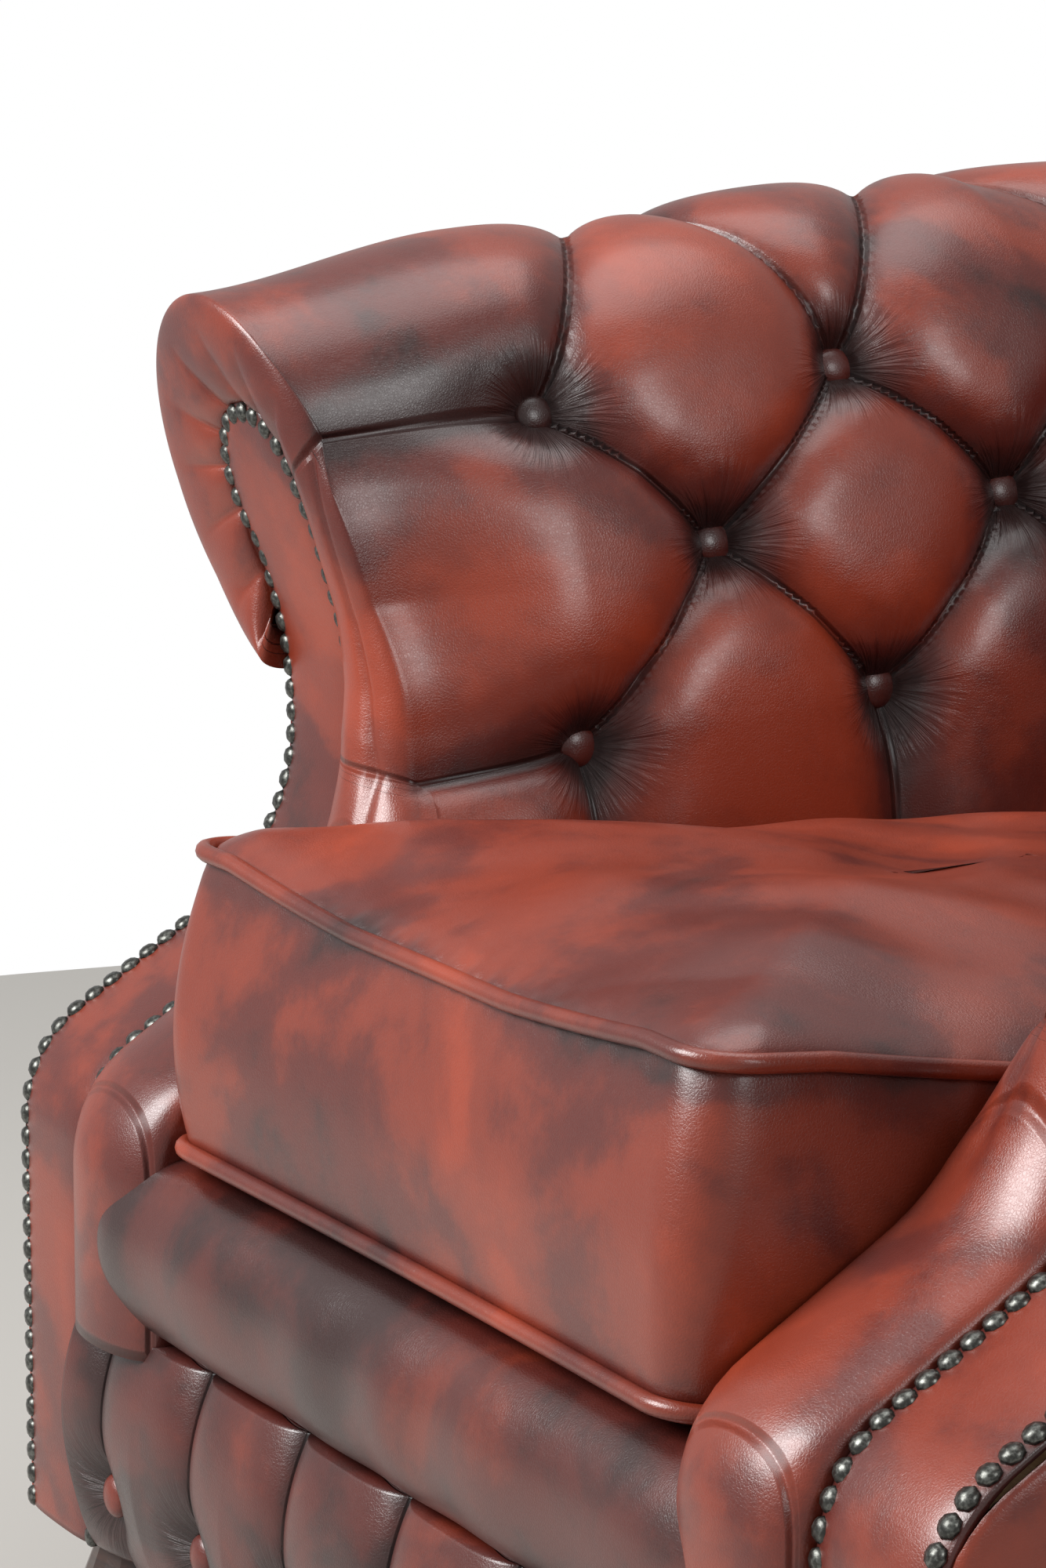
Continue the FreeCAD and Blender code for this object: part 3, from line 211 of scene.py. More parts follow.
class Value:
    """A socket that takes part in Python arithmetic."""

    def __init__(self, tree, socket):
        self.tree = tree
        self.socket = socket

    def maths(self, operation, *others):
        made = self.tree.node("ShaderNodeMath", {"operation": operation}, _0=self)
        for index, item in enumerate(others):
            self.tree.feed(made, "_%d" % (index + 1), item)
        return Value(self.tree, made.outputs[0])

    def __add__(self, other):
        return self.maths("ADD", other)

    def __sub__(self, other):
        return self.maths("SUBTRACT", other)

    def __mul__(self, other):
        return self.maths("MULTIPLY", other)

    def __rsub__(self, other):
        return (self * -1.0) + other

    def __abs__(self):
        return self.maths("ABSOLUTE")

    __radd__ = __add__
    __rmul__ = __mul__

    def lowest(self, other):
        return self.maths("MINIMUM", other)

    def clamped(self):
        return self.lowest(1.0).maths("MAXIMUM", 0.0)

    def sine(self):
        return self.maths("SINE")


def rgba(colour):
    return (colour[0], colour[1], colour[2], 1.0)


def lighter(colour, gain):
    return rgba([min(channel * gain + 0.01, 1.0) for channel in colour])


# Leather, wood, metal and cloth

def leather_material(name, tufted):
    """Antiqued leather: dark glaze and rubbed patches at random, painted shade in hollows, grain
    and creases.
    """
    tree = Tree(name)
    place = tree.place()
    tuft = tree.node("ShaderNodeAttribute", {"attribute_name": "tuft"})
    hollow_shade, edge, near = tree.axes(tuft.outputs["Vector"])
    bright, middle, dark = (rgba(item) for item in (
        colours().leather_bright, colours().leather_middle, colours().leather_dark_and_shade))

    cloud = tree.noise(tree.scaled(place, (1.0, 1.0, 1.15)), 6.0, 3.5, 0.55, 0.6)
    mottle = tree.noise(place, 22.0, 4.0, 0.60, 0.2)
    fibres = tree.noise(place, 260.0, 3.0, 0.6)
    tone = (cloud - 0.5) * 0.75 + (mottle - 0.5) * 0.26 + (fibres - 0.5) * 0.05 + 0.585
    between = rgba([0.55 * high + 0.45 * low for high, low in zip(bright, middle)])
    # Painted shade: the tone is lowered and blended towards the dark colour in the folds, hollows
    # and button funnels, where shade falls.
    colour = tree.ramp(tone - hollow_shade * 0.24,
                       (0.36, dark), (0.49, middle), (0.60, between), (0.72, bright))
    colour = tree.mix((hollow_shade * 0.55).clamped(), colour, dark)
    # Painted shade: a still darker tone in the funnel round each button.
    button_funnel_shade = rgba([channel * 0.55 for channel in dark])
    colour = tree.mix(edge.clamped(), colour, button_funnel_shade)

    grain = tree.node("ShaderNodeTexVoronoi", {"feature": "DISTANCE_TO_EDGE"},
                      Vector=place, Scale=620.0)
    pores = tree.spread(grain.outputs["Distance"], 0.0, 0.25)
    fine = tree.noise(place, 900.0, 2.0, 0.5)
    crease = tree.noise(tree.scaled(place, (1.0, 1.0, 3.4)), 85.0, 5.0, 0.62, 1.1)
    normal = tree.bump(pores * 0.6 + fine * 0.4, 0.16, 0.0006)
    normal = tree.bump(tree.spread(abs(crease - 0.5), 0.0, 0.045), 0.10, 0.0010, normal)
    if tufted:
        normal = fold_bump(tree, near, normal)
    return tree.finish(
        Base_Color=colour, Normal=normal,
        Roughness=(mottle * 0.18) + 0.22 + (1.0 - pores) * 0.05 + edge * 0.15,
        Specular_IOR_Level=0.5, Coat_Weight=0.30, Coat_Roughness=0.22)


def fold_bump(tree, near, normal):
    """Wrinkles that run out from each button, and a lip along each fold."""
    local = tree.node("ShaderNodeUVMap", {"uv_map": "local"}).outputs["UV"]
    lattice = tree.node("ShaderNodeUVMap", {"uv_map": "lattice"}).outputs["UV"]
    heading = tree.node("ShaderNodeVectorMath", {"operation": "NORMALIZE"}, _0=local)
    reach = tree.node("ShaderNodeVectorMath", {"operation": "LENGTH"}, _0=local)
    turned = tree.node("ShaderNodeVectorMath", {"operation": "SCALE"},
                       _0=heading.outputs[0], Scale=7.0)
    x, y, _ = tree.axes(turned.outputs[0])
    ray = tree.node("ShaderNodeCombineXYZ", None, X=x, Y=y,
                    Z=Value(tree, reach.outputs["Value"]) * 0.9)
    rays = tree.noise(ray.outputs["Vector"], 1.0, 4.0, 0.62, 0.25)
    fade = (1.0 - tree.spread(near, 0.020, 0.046)) * tree.spread(near, 0.006, 0.012)
    normal = tree.bump(rays * fade, 0.75, 0.0052, normal)
    first, second, _ = tree.axes(lattice)
    line = first.maths("PINGPONG", 0.5).lowest(second.maths("PINGPONG", 0.5))
    lip = 1.0 - tree.spread(line, 0.0, 0.020)
    return tree.bump(1.0 - lip, 0.8, 0.0035, normal)


def nail_material():
    tree = Tree("antique nail")
    wear = tree.noise(tree.place(), 420.0, 3.0, 0.6)
    worn = rgba((0.16, 0.165, 0.15))
    return tree.finish(
        Base_Color=tree.ramp(wear, (0.42, rgba(colours().nail_colour)), (0.70, worn)),
        Metallic=0.85, Roughness=wear * 0.25 + 0.20, Normal=tree.bump(wear, 0.2, 0.0004))


def wood_material(name, light, dark, roughness, coat):
    """Long grain along X with fine pores."""
    tree = Tree(name)
    place = tree.place()
    figure = tree.noise(tree.scaled(place, (1.2, 14.0, 14.0)), 3.0, 5.0, 0.6, 1.6)
    flecks = tree.noise(tree.scaled(place, (40.0, 900.0, 900.0)), 1.0, 2.0, 0.5)
    return tree.finish(
        Base_Color=tree.ramp(figure * 0.75 + flecks * 0.25,
                             (0.35, rgba(dark)), (0.65, rgba(light))),
        Roughness=flecks * 0.15 + roughness, Normal=tree.bump(flecks, 0.15, 0.0004),
        Coat_Weight=coat, Coat_Roughness=0.2)


def cloth_material(name, base, scale):
    """A plain weave: two sets of threads at right angles."""
    tree = Tree(name)
    place = tree.place()
    x, y, z = tree.axes(place)
    weave = ((x * scale).sine() * ((y + z) * scale).sine()) * 0.5 + 0.5
    fuzz = tree.noise(place, 60.0, 4.0, 0.6)
    return tree.finish(
        Base_Color=tree.ramp(weave * 0.5 + fuzz * 0.5,
                             (0.3, rgba(base)), (0.75, lighter(base, 1.7))),
        Roughness=fuzz * 0.1 + 0.85, Normal=tree.bump(weave, 0.3, 0.0006))


def plain_material(name, base, metallic, roughness):
    tree = Tree(name)
    scuffs = tree.noise(tree.place(), 180.0, 4.0, 0.6)
    return tree.finish(
        Base_Color=tree.ramp(scuffs, (0.4, rgba(base)), (0.7, lighter(base, 1.35))),
        Roughness=scuffs * 0.2 + roughness, Metallic=metallic)


MAKERS = {
    "buttoned leather": lambda name: leather_material(name, True),
    "smooth leather": lambda name: leather_material(name, False),
    "antique nail": lambda name: nail_material(),
    "beech": lambda name: wood_material(
        name, colours().beech_colour, (0.38, 0.22, 0.11), 0.5, 0.0),
    "stained foot": lambda name: wood_material(
        name, colours().foot_colour, (0.02, 0.008, 0.005), 0.3, 0.5),
    "lining": lambda name: cloth_material(name, colours().lining_colour, 2600.0),
    "webbing": lambda name: cloth_material(name, (0.34, 0.26, 0.16), 1400.0),
    "wadding": lambda name: cloth_material(name, (0.50, 0.46, 0.38), 900.0),
    "spring wire": lambda name: plain_material(name, (0.30, 0.29, 0.28), 0.9, 0.35),
    "glide": lambda name: plain_material(name, (0.03, 0.03, 0.03), 0.0, 0.5),
}


def material(name):
    return bpy.data.materials.get(name) or MAKERS[name](name)


# Making pieces

def depth_plane(distance):
    """Y, in metres, of a depth in millimetres behind the front plane."""
    return sizes().front_plane + distance * MM


def new_piece(name, mesh, finish, body=BODY):
    piece = bpy.data.objects.new(name, mesh)
    bpy.context.scene.collection.objects.link(piece)
    mesh.materials.clear()
    mesh.materials.append(material(finish))
    for face in mesh.polygons:
        face.use_smooth = True
    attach(piece, body)
    return piece


def from_bmesh(name, bm, outward=True):
    if outward:
        bmesh.ops.recalc_face_normals(bm, faces=bm.faces)
    mesh = bpy.data.meshes.new(name)
    bm.to_mesh(mesh)
    bm.free()
    return mesh


def weld(bm, distance):
    """Merges what meets, and closes the openings that are left."""
    bmesh.ops.remove_doubles(bm, verts=bm.verts, dist=distance)
    rims = [edge for edge in bm.edges if edge.is_boundary]
    bmesh.ops.holes_fill(bm, edges=rims, sides=0)


def laid_grid(name, points, tuft=None, lattice=None, local=None):
    """A grid whose vertices are laid on an array of points, welded and closed at its ends."""
    columns, rows = points.shape[:2]
    bm = bmesh.new()
    bmesh.ops.create_grid(bm, x_segments=columns - 1, y_segments=rows - 1, size=0.5)
    mesh = from_bmesh(name, bm, outward=False)
    spots = np.empty(len(mesh.vertices) * 3)
    mesh.vertices.foreach_get("co", spots)
    spots = spots.reshape(-1, 3)
    column = np.rint((spots[:, 0] + 0.5) * (columns - 1)).astype(int)
    row = np.rint((spots[:, 1] + 0.5) * (rows - 1)).astype(int)
    mesh.vertices.foreach_set("co", points[column, row].ravel())
    if tuft is not None:
        layer = mesh.attributes.new("tuft", "FLOAT_VECTOR", "POINT")
        layer.data.foreach_set("vector", tuft[column, row].ravel())
    corners = np.empty(len(mesh.loops), dtype=np.int32)
    mesh.loops.foreach_get("vertex_index", corners)
    for label, values in (("lattice", lattice), ("local", local)):
        if values is not None:
            layer = mesh.uv_layers.new(name=label)
            layer.data.foreach_set("uv", values[column, row][corners].ravel())
    bm = bmesh.new()
    bm.from_mesh(mesh)
    weld(bm, 0.00002)
    bmesh.ops.recalc_face_normals(bm, faces=bm.faces)
    bm.to_mesh(mesh)
    bm.free()
    return mesh


def closed(front, back):
    """Front rows, the rows behind them, and the first row again."""
    return np.concatenate([front, back, front[:, :1]], axis=1)


def carried_back(values, extra):
    """A front's values, its last one repeated over the rows behind it."""
    return closed(values, np.repeat(values[:, -1:], extra, axis=1))


def straight_back(x, depths, heights):
    """Straight rows at distances behind the front plane and at heights."""
    rows = np.broadcast_arrays(
        x[:, None], sizes().front_plane + np.array(depths), np.array(heights))
    return np.stack(rows, axis=-1)


def surface_normals(points):
    along = np.gradient(points, axis=0)
    across = np.gradient(points, axis=1)
    normal = np.cross(along, across)
    size = np.linalg.norm(normal, axis=2, keepdims=True)
    return normal / np.maximum(size, 1e-12)


def bell(distance, reach):
    """1 on a line or a point, and falling to nothing round it."""
    return np.exp(-(distance / reach) ** 2)


# The arm front's sweep, in millimetres

SWEEP_ARCS = ((65.0, -58.0, 82.0), (115.0, 58.0, 0.0), (250.0, 17.0, 230.0))


def sweep_line():
    """Depths and heights of the facings' plane: arcs of a radius and a turn, then a straight."""
    spots = [(-9.0, 60.0), (-9.0, 285.0)]
    heading = 90.0
    for radius, turn, run in SWEEP_ARCS:
        y, z = spots[-1]
        way = math.copysign(1.0, turn)
        centre_y = y - way * radius * math.sin(math.radians(heading))
        centre_z = z + way * radius * math.cos(math.radians(heading))
        for step in range(1, 13):
            angle = heading + turn * step / 12.0
            spots.append((centre_y + way * radius * math.sin(math.radians(angle)),
                          centre_z - way * radius * math.cos(math.radians(angle))))
        heading += turn
        if run:
            y, z = spots[-1]
            spots.append((y + run * math.cos(math.radians(heading)),
                          z + run * math.sin(math.radians(heading))))
    return np.array(spots)


SWEEP = sweep_line()


def sweep_at(height):
    """Depth of the facings' plane at a height."""
    return np.interp(height, SWEEP[:, 1], SWEEP[:, 0])


# Buttoned leather, in millimetres: offsets from the edge of the seat, and heights

SLOPE = math.tan(math.radians(5.0))
UPPER_ROW = 572.0
LOWER_ROW = 478.0
SEAT_LINE = 306.0
WAIST = 440.0
ROLL_END = 160.0
FRONT_CLIMB = -2.5
FIRST_CLIMB = 7.7
CORNER = (1.67, 2.0, 2.47)
FAR_CORNER = (5.53, 6.0)


def climb_at(distance):
    """Rise of the arm tops at a depth."""
    return (np.maximum(distance, 92.0) - 150.0) * SLOPE


def foot_at(distance):
    """Height where the leather ends on the sloping platform."""
    return 307.0 - (np.maximum(distance, 31.0) - 31.0) * SLOPE


def arm_distance(u):
    """Depth of a column of the lattice, up to the turn of the corner."""
    end = (sizes().seat_depth - sizes().corner_radius) / MM
    return np.minimum(sizes().first_button / MM + u * (sizes().arm_pitch / MM), end)


def roll_angle(v):
    """Angle round the rolled top, in degrees."""
    return np.interp(v, [-1.0, 0.0, 1.0], [-80.0, 55.0, ROLL_END])


def lower_wall(share, climb, foot):
    """Heights between the lower button row and the seat."""
    return LOWER_ROW + climb + share * (foot - LOWER_ROW - climb)


def crest_line(v, climb, foot, front=0.0):
    """Offset and height of the outline over the tufts.

    v runs down the leather: -1 is the outer edge under the roll, 0 and 1 are the button rows on
    the roll, 2 and 3 are those on the wall, and 4 is the seat. front is 1 at the arm's front,
    where the roll is slimmer and the wall leans out.
    """
    angle = np.radians(roll_angle(v))
    radius = sizes().roll_radius / MM - 17.0 * front
    centre = sizes().roll_height / MM
    edge = centre + radius * math.sin(math.radians(ROLL_END))
    level = np.where(v < 2.0, edge + (UPPER_ROW - edge) * np.clip(v - 1.0, 0.0, 1.0),
                     np.interp(v, [2.0, 3.0, 4.0], [UPPER_ROW, LOWER_ROW, SEAT_LINE]))
    rise = np.clip(level - WAIST, 0.0, None)
    drop = np.clip(WAIST - level, 0.0, None)
    lean = np.interp(level, [WAIST, 500.0, 560.0, 610.0, 660.0], [0.0, 20.0, 31.0, 24.0, 11.0])
    wall = 2.0 + 0.01039 * rise ** 1.6 + 4.0 * (drop / 134.0) ** 2 + lean * front
    lower = lower_wall(np.clip(v - 3.0, 0.0, 1.0), climb, foot)
    on_roll = v < 1.0
    offset = np.where(on_roll, 167.0 - 4.0 * front + radius * np.cos(angle), wall)
    height = np.where(on_roll, centre + climb + radius * np.sin(angle),
                      np.where(v > 3.0, lower, level + climb))
    return offset, height


def facing_line(v):
    """Where the leather ends on the facing, for the same rows as crest_line."""
    angle = np.radians(np.interp(v, [-0.55, 0.0, 1.0], [-8.0, 62.0, 172.0]))
    under = [-1.0, -0.8, -0.55]
    below = [1.0, 2.0, 3.0, 4.0]
    x = np.where(v < 1.0, 150.0 + 46.0 * np.cos(angle),
                 np.interp(v, below, [104.4, 98.0, 96.0, 96.0]))
    z = np.where(v < 1.0, 607.0 + 46.0 * np.sin(angle),
                 np.interp(v, below, [613.4, 556.0, 478.0, 200.0]))
    return (np.where(v < -0.55, np.interp(v, under, [186.0, 190.0, 195.5]), x),
            np.where(v < -0.55, np.interp(v, under, [528.0, 562.0, 600.5]), z))


def proud_at(height):
    """How far the padded edge stands ahead of the facing's plane."""
    return np.interp(height, [230.0, 300.0, 340.0, 420.0, 460.0, 490.0, 515.0, 550.0, 600.0, 720.0],
                     [22.0, 22.0, 24.0, 29.0, 28.0, 24.0, 17.0, 11.0, 8.0, 9.0])


def path_place(u, offset, height, sign):
    """Places offsets along the inside arm, round the corner and across the back."""
    half = sizes().seat_half_width / MM
    radius = sizes().corner_radius / MM
    end = sizes().seat_depth / MM - radius
    first = sizes().first_button / MM
    pitch = sizes().back_pitch / MM
    arm = first + sizes().arm_pitch / MM * 1.5
    start, _, stop = CORNER
    far_start, far_middle = FAR_CORNER
    distance = np.interp(u, [-1.0, 0.0, 1.5, start], [first * 2.0 - arm, first, arm, end])
    turn = np.radians(np.interp(u, CORNER, [0.0, 45.0, 90.0]))
    far = np.radians(np.interp(u, FAR_CORNER, [90.0, 135.0]))
    across = np.interp(u, [stop, 2.5, 3.0, 5.5, far_start], [
        half - radius, pitch * 1.5, pitch, -pitch * 1.5, radius - half])
    reach = radius + offset
    back = (u > stop) & (u <= far_start)
    last = u > far_start
    x = np.where(back, across, (half - radius) + reach * np.cos(turn))
    x = np.where(last, radius - half + reach * np.cos(far), x)
    y = np.where(back, end + radius + offset, end + reach * np.sin(turn))
    y = np.where(u <= start, distance, np.where(last, end + reach * np.sin(far), y))
    return np.stack([sign * x * MM, depth_plane(y), height * MM], axis=-1)


def crest_points(u, v, sign):
    """The smooth form under the tufts."""
    distance = arm_distance(u)
    offset, height = crest_line(v, climb_at(distance), foot_at(distance))
    return path_place(u, offset, height, sign)


def button_spots(halves, sign):
    """Lattice places and points of the buttons, for a run of half pitches."""
    spots = []
    for half in halves:
        for row in ((1.0, 3.0) if half % 2 == 0 else (0.0, 2.0)):
            point = crest_points(np.array([[half / 2.0]]), np.array([[row]]), sign)[0, 0]
            spots.append((half / 2.0, row, point))
    return spots


def nearest_button(points, u, v, spots):
    """Distance to the nearest button, and the way to it on the lattice."""
    best = np.full(points.shape[:2], 1e9)
    local = np.zeros(points.shape[:2] + (2,))
    for spot_u, spot_v, spot in spots:
        away = np.linalg.norm(points - spot, axis=2)
        nearer = away < best
        best = np.where(nearer, away, best)
        way = np.stack([u - spot_u, (v - spot_v) * 0.5], axis=-1)
        size = np.maximum(np.linalg.norm(way, axis=2, keepdims=True), 1e-9)
        way = way / size * np.minimum(away, 0.2)[..., None] / 0.08
        local = np.where(nearer[..., None], way, local)
    return best, local


def puff(sine):
    """Section of a filled tuft, from 0 in the fold to 1 on the crest."""
    return (1.0 - (1.0 - sine) ** 2.2) ** 0.62


def tuft_field(u, v, away, fade):
    """Depth of the leather below its crest, in metres, and the lattice for the folds."""
    inner = np.maximum(u, 0.0)
    row = np.clip(v, 0.0, 3.0)
    first = inner + row / 2.0 - 0.5
    second = inner - row / 2.0 - 0.5
    one = np.abs(np.sin(np.pi * first))
    two = np.abs(np.sin(np.pi * second))
    low = (u < 0.0) & (v > 3.0)
    one = np.where(low, np.sin(np.pi * np.minimum(-u * 1.4, 0.5)), one)
    two = np.where(low, np.sin(np.pi * np.minimum((v - 3.0) * 1.2, 0.5)), two)
    crown = puff(np.clip(one, 0.0, 1.0)) * puff(np.clip(two, 0.0, 1.0))
    fold = sizes().fold_depth * (1.0 + 0.75 * bell(away, 0.050)) * fade
    funnel = (sizes().button_depth - sizes().fold_depth * 1.75) * bell(away, 0.020)
    depth = fold * (1.0 - crown) + funnel + 0.003 * bell(away, 0.045)
    lattice = np.stack([np.where(low, -u * 1.4, first), np.where(low, v - 3.0, second)], axis=-1)
    return depth, crown, lattice


def column_rows():
    """Rows from the outer edge, over the roll and down to the seat, evenly spread."""
    runs = ((-1.0, 0.0, 78), (0.0, 1.0, 60), (1.0, 2.0, 26), (2.0, 3.0, 28), (3.0, 4.0, 40))
    rows = [np.linspace(start, end, count, endpoint=False) for start, end, count in runs]
    return np.concatenate(rows + [np.array([4.0])])


WRAP = np.concatenate([np.linspace(4.0, 2.0, 50), np.linspace(1.9, -0.9, 24)])
WRAP_KNOTS = np.array([-4.0, -3.0, -2.3, -1.6, -1.0, -0.5, 0.0, 0.5, 0.9])
WRAP_OFFSETS = (55.0, 55.0, 70.0, 92.0, 100.0, 150.0, 200.0, 208.0, 190.0)
WRAP_HEIGHTS = (SEAT_LINE, LOWER_ROW, 540.0, 610.0, 655.0, 668.0, 640.0, 600.0, 540.0)


def inner_wrap(u, sign):
    """Rows behind the leather, from the seat up the wall and round to the roll's outer edge."""
    offset = np.interp(-WRAP, WRAP_KNOTS, WRAP_OFFSETS)[None, :]
    level = np.interp(-WRAP, WRAP_KNOTS, WRAP_HEIGHTS)[None, :]
    distance = arm_distance(u)[:, None]
    climb = climb_at(distance)
    share = np.clip((LOWER_ROW - level) / (LOWER_ROW - SEAT_LINE), 0.0, 1.0)
    height = np.where(share > 0.0, lower_wall(share, climb, foot_at(distance)), level + climb)
    return path_place(u[:, None], offset, height, sign)


def tufted_mesh(name, base, u, v, sign, spots, back, firm=1.0, tuck=0.0):
    """Presses folds and hollows into a smooth form and closes it with the rows behind it.

    firm is the share of their depth that the folds keep, and tuck is 1 in the tucked line
    along the padded edge.
    """
    away, local = nearest_button(base, u, v, spots)
    row_fade = np.interp(v, [-1.0, -0.3, 0.0, 3.0, 4.0], [0.35, 0.9, 1.0, 1.0, 0.75])
    depth, crown, lattice = tuft_field(u, v, away, row_fade * firm)
    depth = depth + 0.0045 * tuck
    points = base - surface_normals(base) * sign * depth[..., None]
    # Painted shade: the folds, the tucked line along the padded edge and the funnels round the
    # buttons get darkening values for the leather's colour.
    crown = np.minimum(crown * firm + (1.0 - firm), 1.0 - tuck * 0.9)
    hollow_shade = np.clip(1.0 - crown, 0.0, 1.0) ** 2.2 * 0.8 + bell(away, 0.028) * 0.7
    edge = bell(away, 0.0135) * 0.8
    tuft = np.stack([np.clip(hollow_shade, 0.0, 1.0), edge, away], axis=-1)
    rows = len(WRAP)
    return laid_grid(name, closed(points, back), carried_back(tuft, rows),
                     carried_back(lattice, rows), carried_back(local, rows))


class UPHOLSTERY_OT_inside_back(bpy.types.Operator):
    """Makes the buttoned inside back and its buttons"""

    bl_idname = "armchair.inside_back"
    bl_label = "Inside back"

    def execute(self, context):
        columns = np.concatenate([np.linspace(2.0, 2.5, 34, endpoint=False),
                                  np.linspace(2.5, 5.5, 130, endpoint=False),
                                  np.linspace(5.5, 6.0, 35)])
        spots = button_spots(range(4, 13), 1.0)
        u, v = np.meshgrid(columns, column_rows(), indexing="ij")
        mesh = tufted_mesh("tufted_back", crest_points(u, v, 1.0), u, v, 1.0, spots,
                           inner_wrap(columns, 1.0))
        piece = new_piece("tufted_back", mesh, "buttoned leather")
        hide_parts("inside_back")
        make_buttons("back_button_caps", spots, 1.0, ("back_buttons",))
        return {"FINISHED"}


class UPHOLSTERY_OT_inside_arms(bpy.types.Operator):
    """Makes both buttoned inside arms with their padded front edges and buttons"""

    bl_idname = "armchair.inside_arms"
    bl_label = "Inside arms"

    def execute(self, context):
        for side, sign in SIDES:
            inside_arm(side, sign)
        return {"FINISHED"}


CAP_COLUMNS = 34
LEAD_COLUMNS = 40
TUCK_LINE = 0.34


def beside_seat(offset, distance, height, sign):
    """Points by their offset from the seat's edge, depth and height."""
    return np.stack([sign * (sizes().seat_half_width + offset * MM),
                     depth_plane(distance), height * MM], axis=-1)


def lead_part(v, sign):
    """The arm from its front to its first button, following the sweep."""
    first = sizes().first_button / MM
    share = np.linspace(1.0, 0.0, LEAD_COLUMNS, endpoint=False)
    run, run_v = np.meshgrid(share, v, indexing="ij")
    _, height = crest_line(run_v, FRONT_CLIMB, SEAT_LINE, 1.0)
    distance = first + (sweep_at(height) - first) * run
    climb = FIRST_CLIMB + (FRONT_CLIMB - FIRST_CLIMB) * run
    foot = foot_at(distance) - 108.0 * np.clip((60.0 - distance) / 50.0, 0.0, 1.0)
    offset, height = crest_line(run_v, climb, foot, run ** 2 * (3.0 - 2.0 * run))
    return beside_seat(offset, distance, height, sign), distance, run_v, share


def cap_part(v, sign):
    """The padded edge, which turns round the arm's front on to the facing."""
    turn = np.linspace(math.pi, 0.0, CAP_COLUMNS, endpoint=False)
    angle, cap_v = np.meshgrid(turn, v, indexing="ij")
    near_x, near_z = crest_line(cap_v, FRONT_CLIMB, foot_at(0.0) - 108.0, 1.0)
    far_x, far_z = facing_line(cap_v)
    part = (1.0 - np.cos(angle)) / 2.0
    x = near_x + (far_x - near_x) * part
    z = near_z + (far_z - near_z) * part
    plane = sweep_at(z)
    forward = proud_at(z) * np.sin(angle) ** 0.85 - gather_field(cap_v, part)
    y = np.where(part > 0.999, plane + 2.0, plane - forward)
    return beside_seat(x, y, z, sign), sweep_at(near_z) - forward, cap_v, part


def inside_arm(side, sign):
    v = column_rows()
    start, middle, _ = CORNER
    rear_u = np.concatenate([np.linspace(0.0, start, 84, endpoint=False),
                             np.linspace(start, middle, 22)])
    grid_u, grid_v = np.meshgrid(rear_u, v, indexing="ij")
    lead, lead_distance, lead_v, share = lead_part(v, sign)
    cap, cap_distance, cap_v, part = cap_part(v, sign)

    base = np.concatenate([cap, lead, crest_points(grid_u, grid_v, sign)], axis=0)
    front_u = (np.concatenate([cap_distance, lead_distance], axis=0)
               - sizes().first_button / MM) / (sizes().arm_pitch / MM)
    all_u = np.concatenate([front_u, grid_u], axis=0)
    all_v = np.concatenate([cap_v, lead_v, grid_v], axis=0)
    part = np.concatenate([part, np.zeros_like(lead_v), np.zeros_like(grid_v)], axis=0)
    firm = np.where(part > TUCK_LINE, 0.4 * np.clip((0.62 - part) / 0.28, 0.0, 1.0),
                    1.0 - 0.6 * np.clip(part / TUCK_LINE, 0.0, 1.0))

    back = inner_wrap(np.concatenate([np.full(CAP_COLUMNS, -0.4), -0.4 * share, rear_u]), sign)
    ring_x, ring_z = facing_line(WRAP)
    ring = beside_seat(ring_x, sweep_at(ring_z) + 3.0, ring_z, sign)[None]
    leads = slice(CAP_COLUMNS, CAP_COLUMNS + LEAD_COLUMNS)
    blend = share[:, None, None]
    back[:CAP_COLUMNS] = ring
    back[leads] = ring * blend + back[leads] * (1.0 - blend)
    mesh = tufted_mesh("tufted_arm_" + side, base, all_u, all_v, sign,
                       button_spots(range(0, 5), sign), back, firm, front_tuck(part, all_v))
    piece = new_piece("tufted_arm_" + side, mesh, "buttoned leather")
    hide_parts("inside_arm_" + side, "front_edge_" + side)
    make_buttons("arm_button_caps_" + side, button_spots(range(0, 4), sign), sign,
                 ("arm_buttons_" + side,))


def gather_field(v, part):
    """Radial pleats where the roll's leather gathers into the scroll."""
    angle = roll_angle(v)
    wave = np.abs(np.sin(np.radians(angle * 6.5 + 9.0 * np.sin(np.radians(angle * 3.0)))))
    roll = np.clip((1.0 - v) / 0.25, 0.0, 1.0)
    grow = np.clip((part - 0.25) / 0.6, 0.0, 1.0) ** 1.2
    return 4.5 * (1.0 - wave ** 0.5) * roll * grow


def front_tuck(part, v):
    """The tucked line where the inside arm meets the padded front edge."""
    window = np.clip((v - 0.95) / 0.15, 0.0, 1.0) * np.clip((3.35 - v) / 0.3, 0.0, 1.0)
    return np.exp(-np.abs(part - TUCK_LINE) / 0.035) * window


def add_button(bm, seat, flat, turn=None):
    """A covered button: a flattened ball, turned and moved to its seat."""
    made = bmesh.ops.create_uvsphere(bm, u_segments=20, v_segments=12,
                                     radius=sizes().button_radius)["verts"]
    bmesh.ops.scale(bm, vec=flat, verts=made)
    if turn is not None:
        bmesh.ops.rotate(bm, matrix=turn, verts=made, cent=(0.0, 0.0, 0.0))
    bmesh.ops.translate(bm, vec=seat, verts=made)


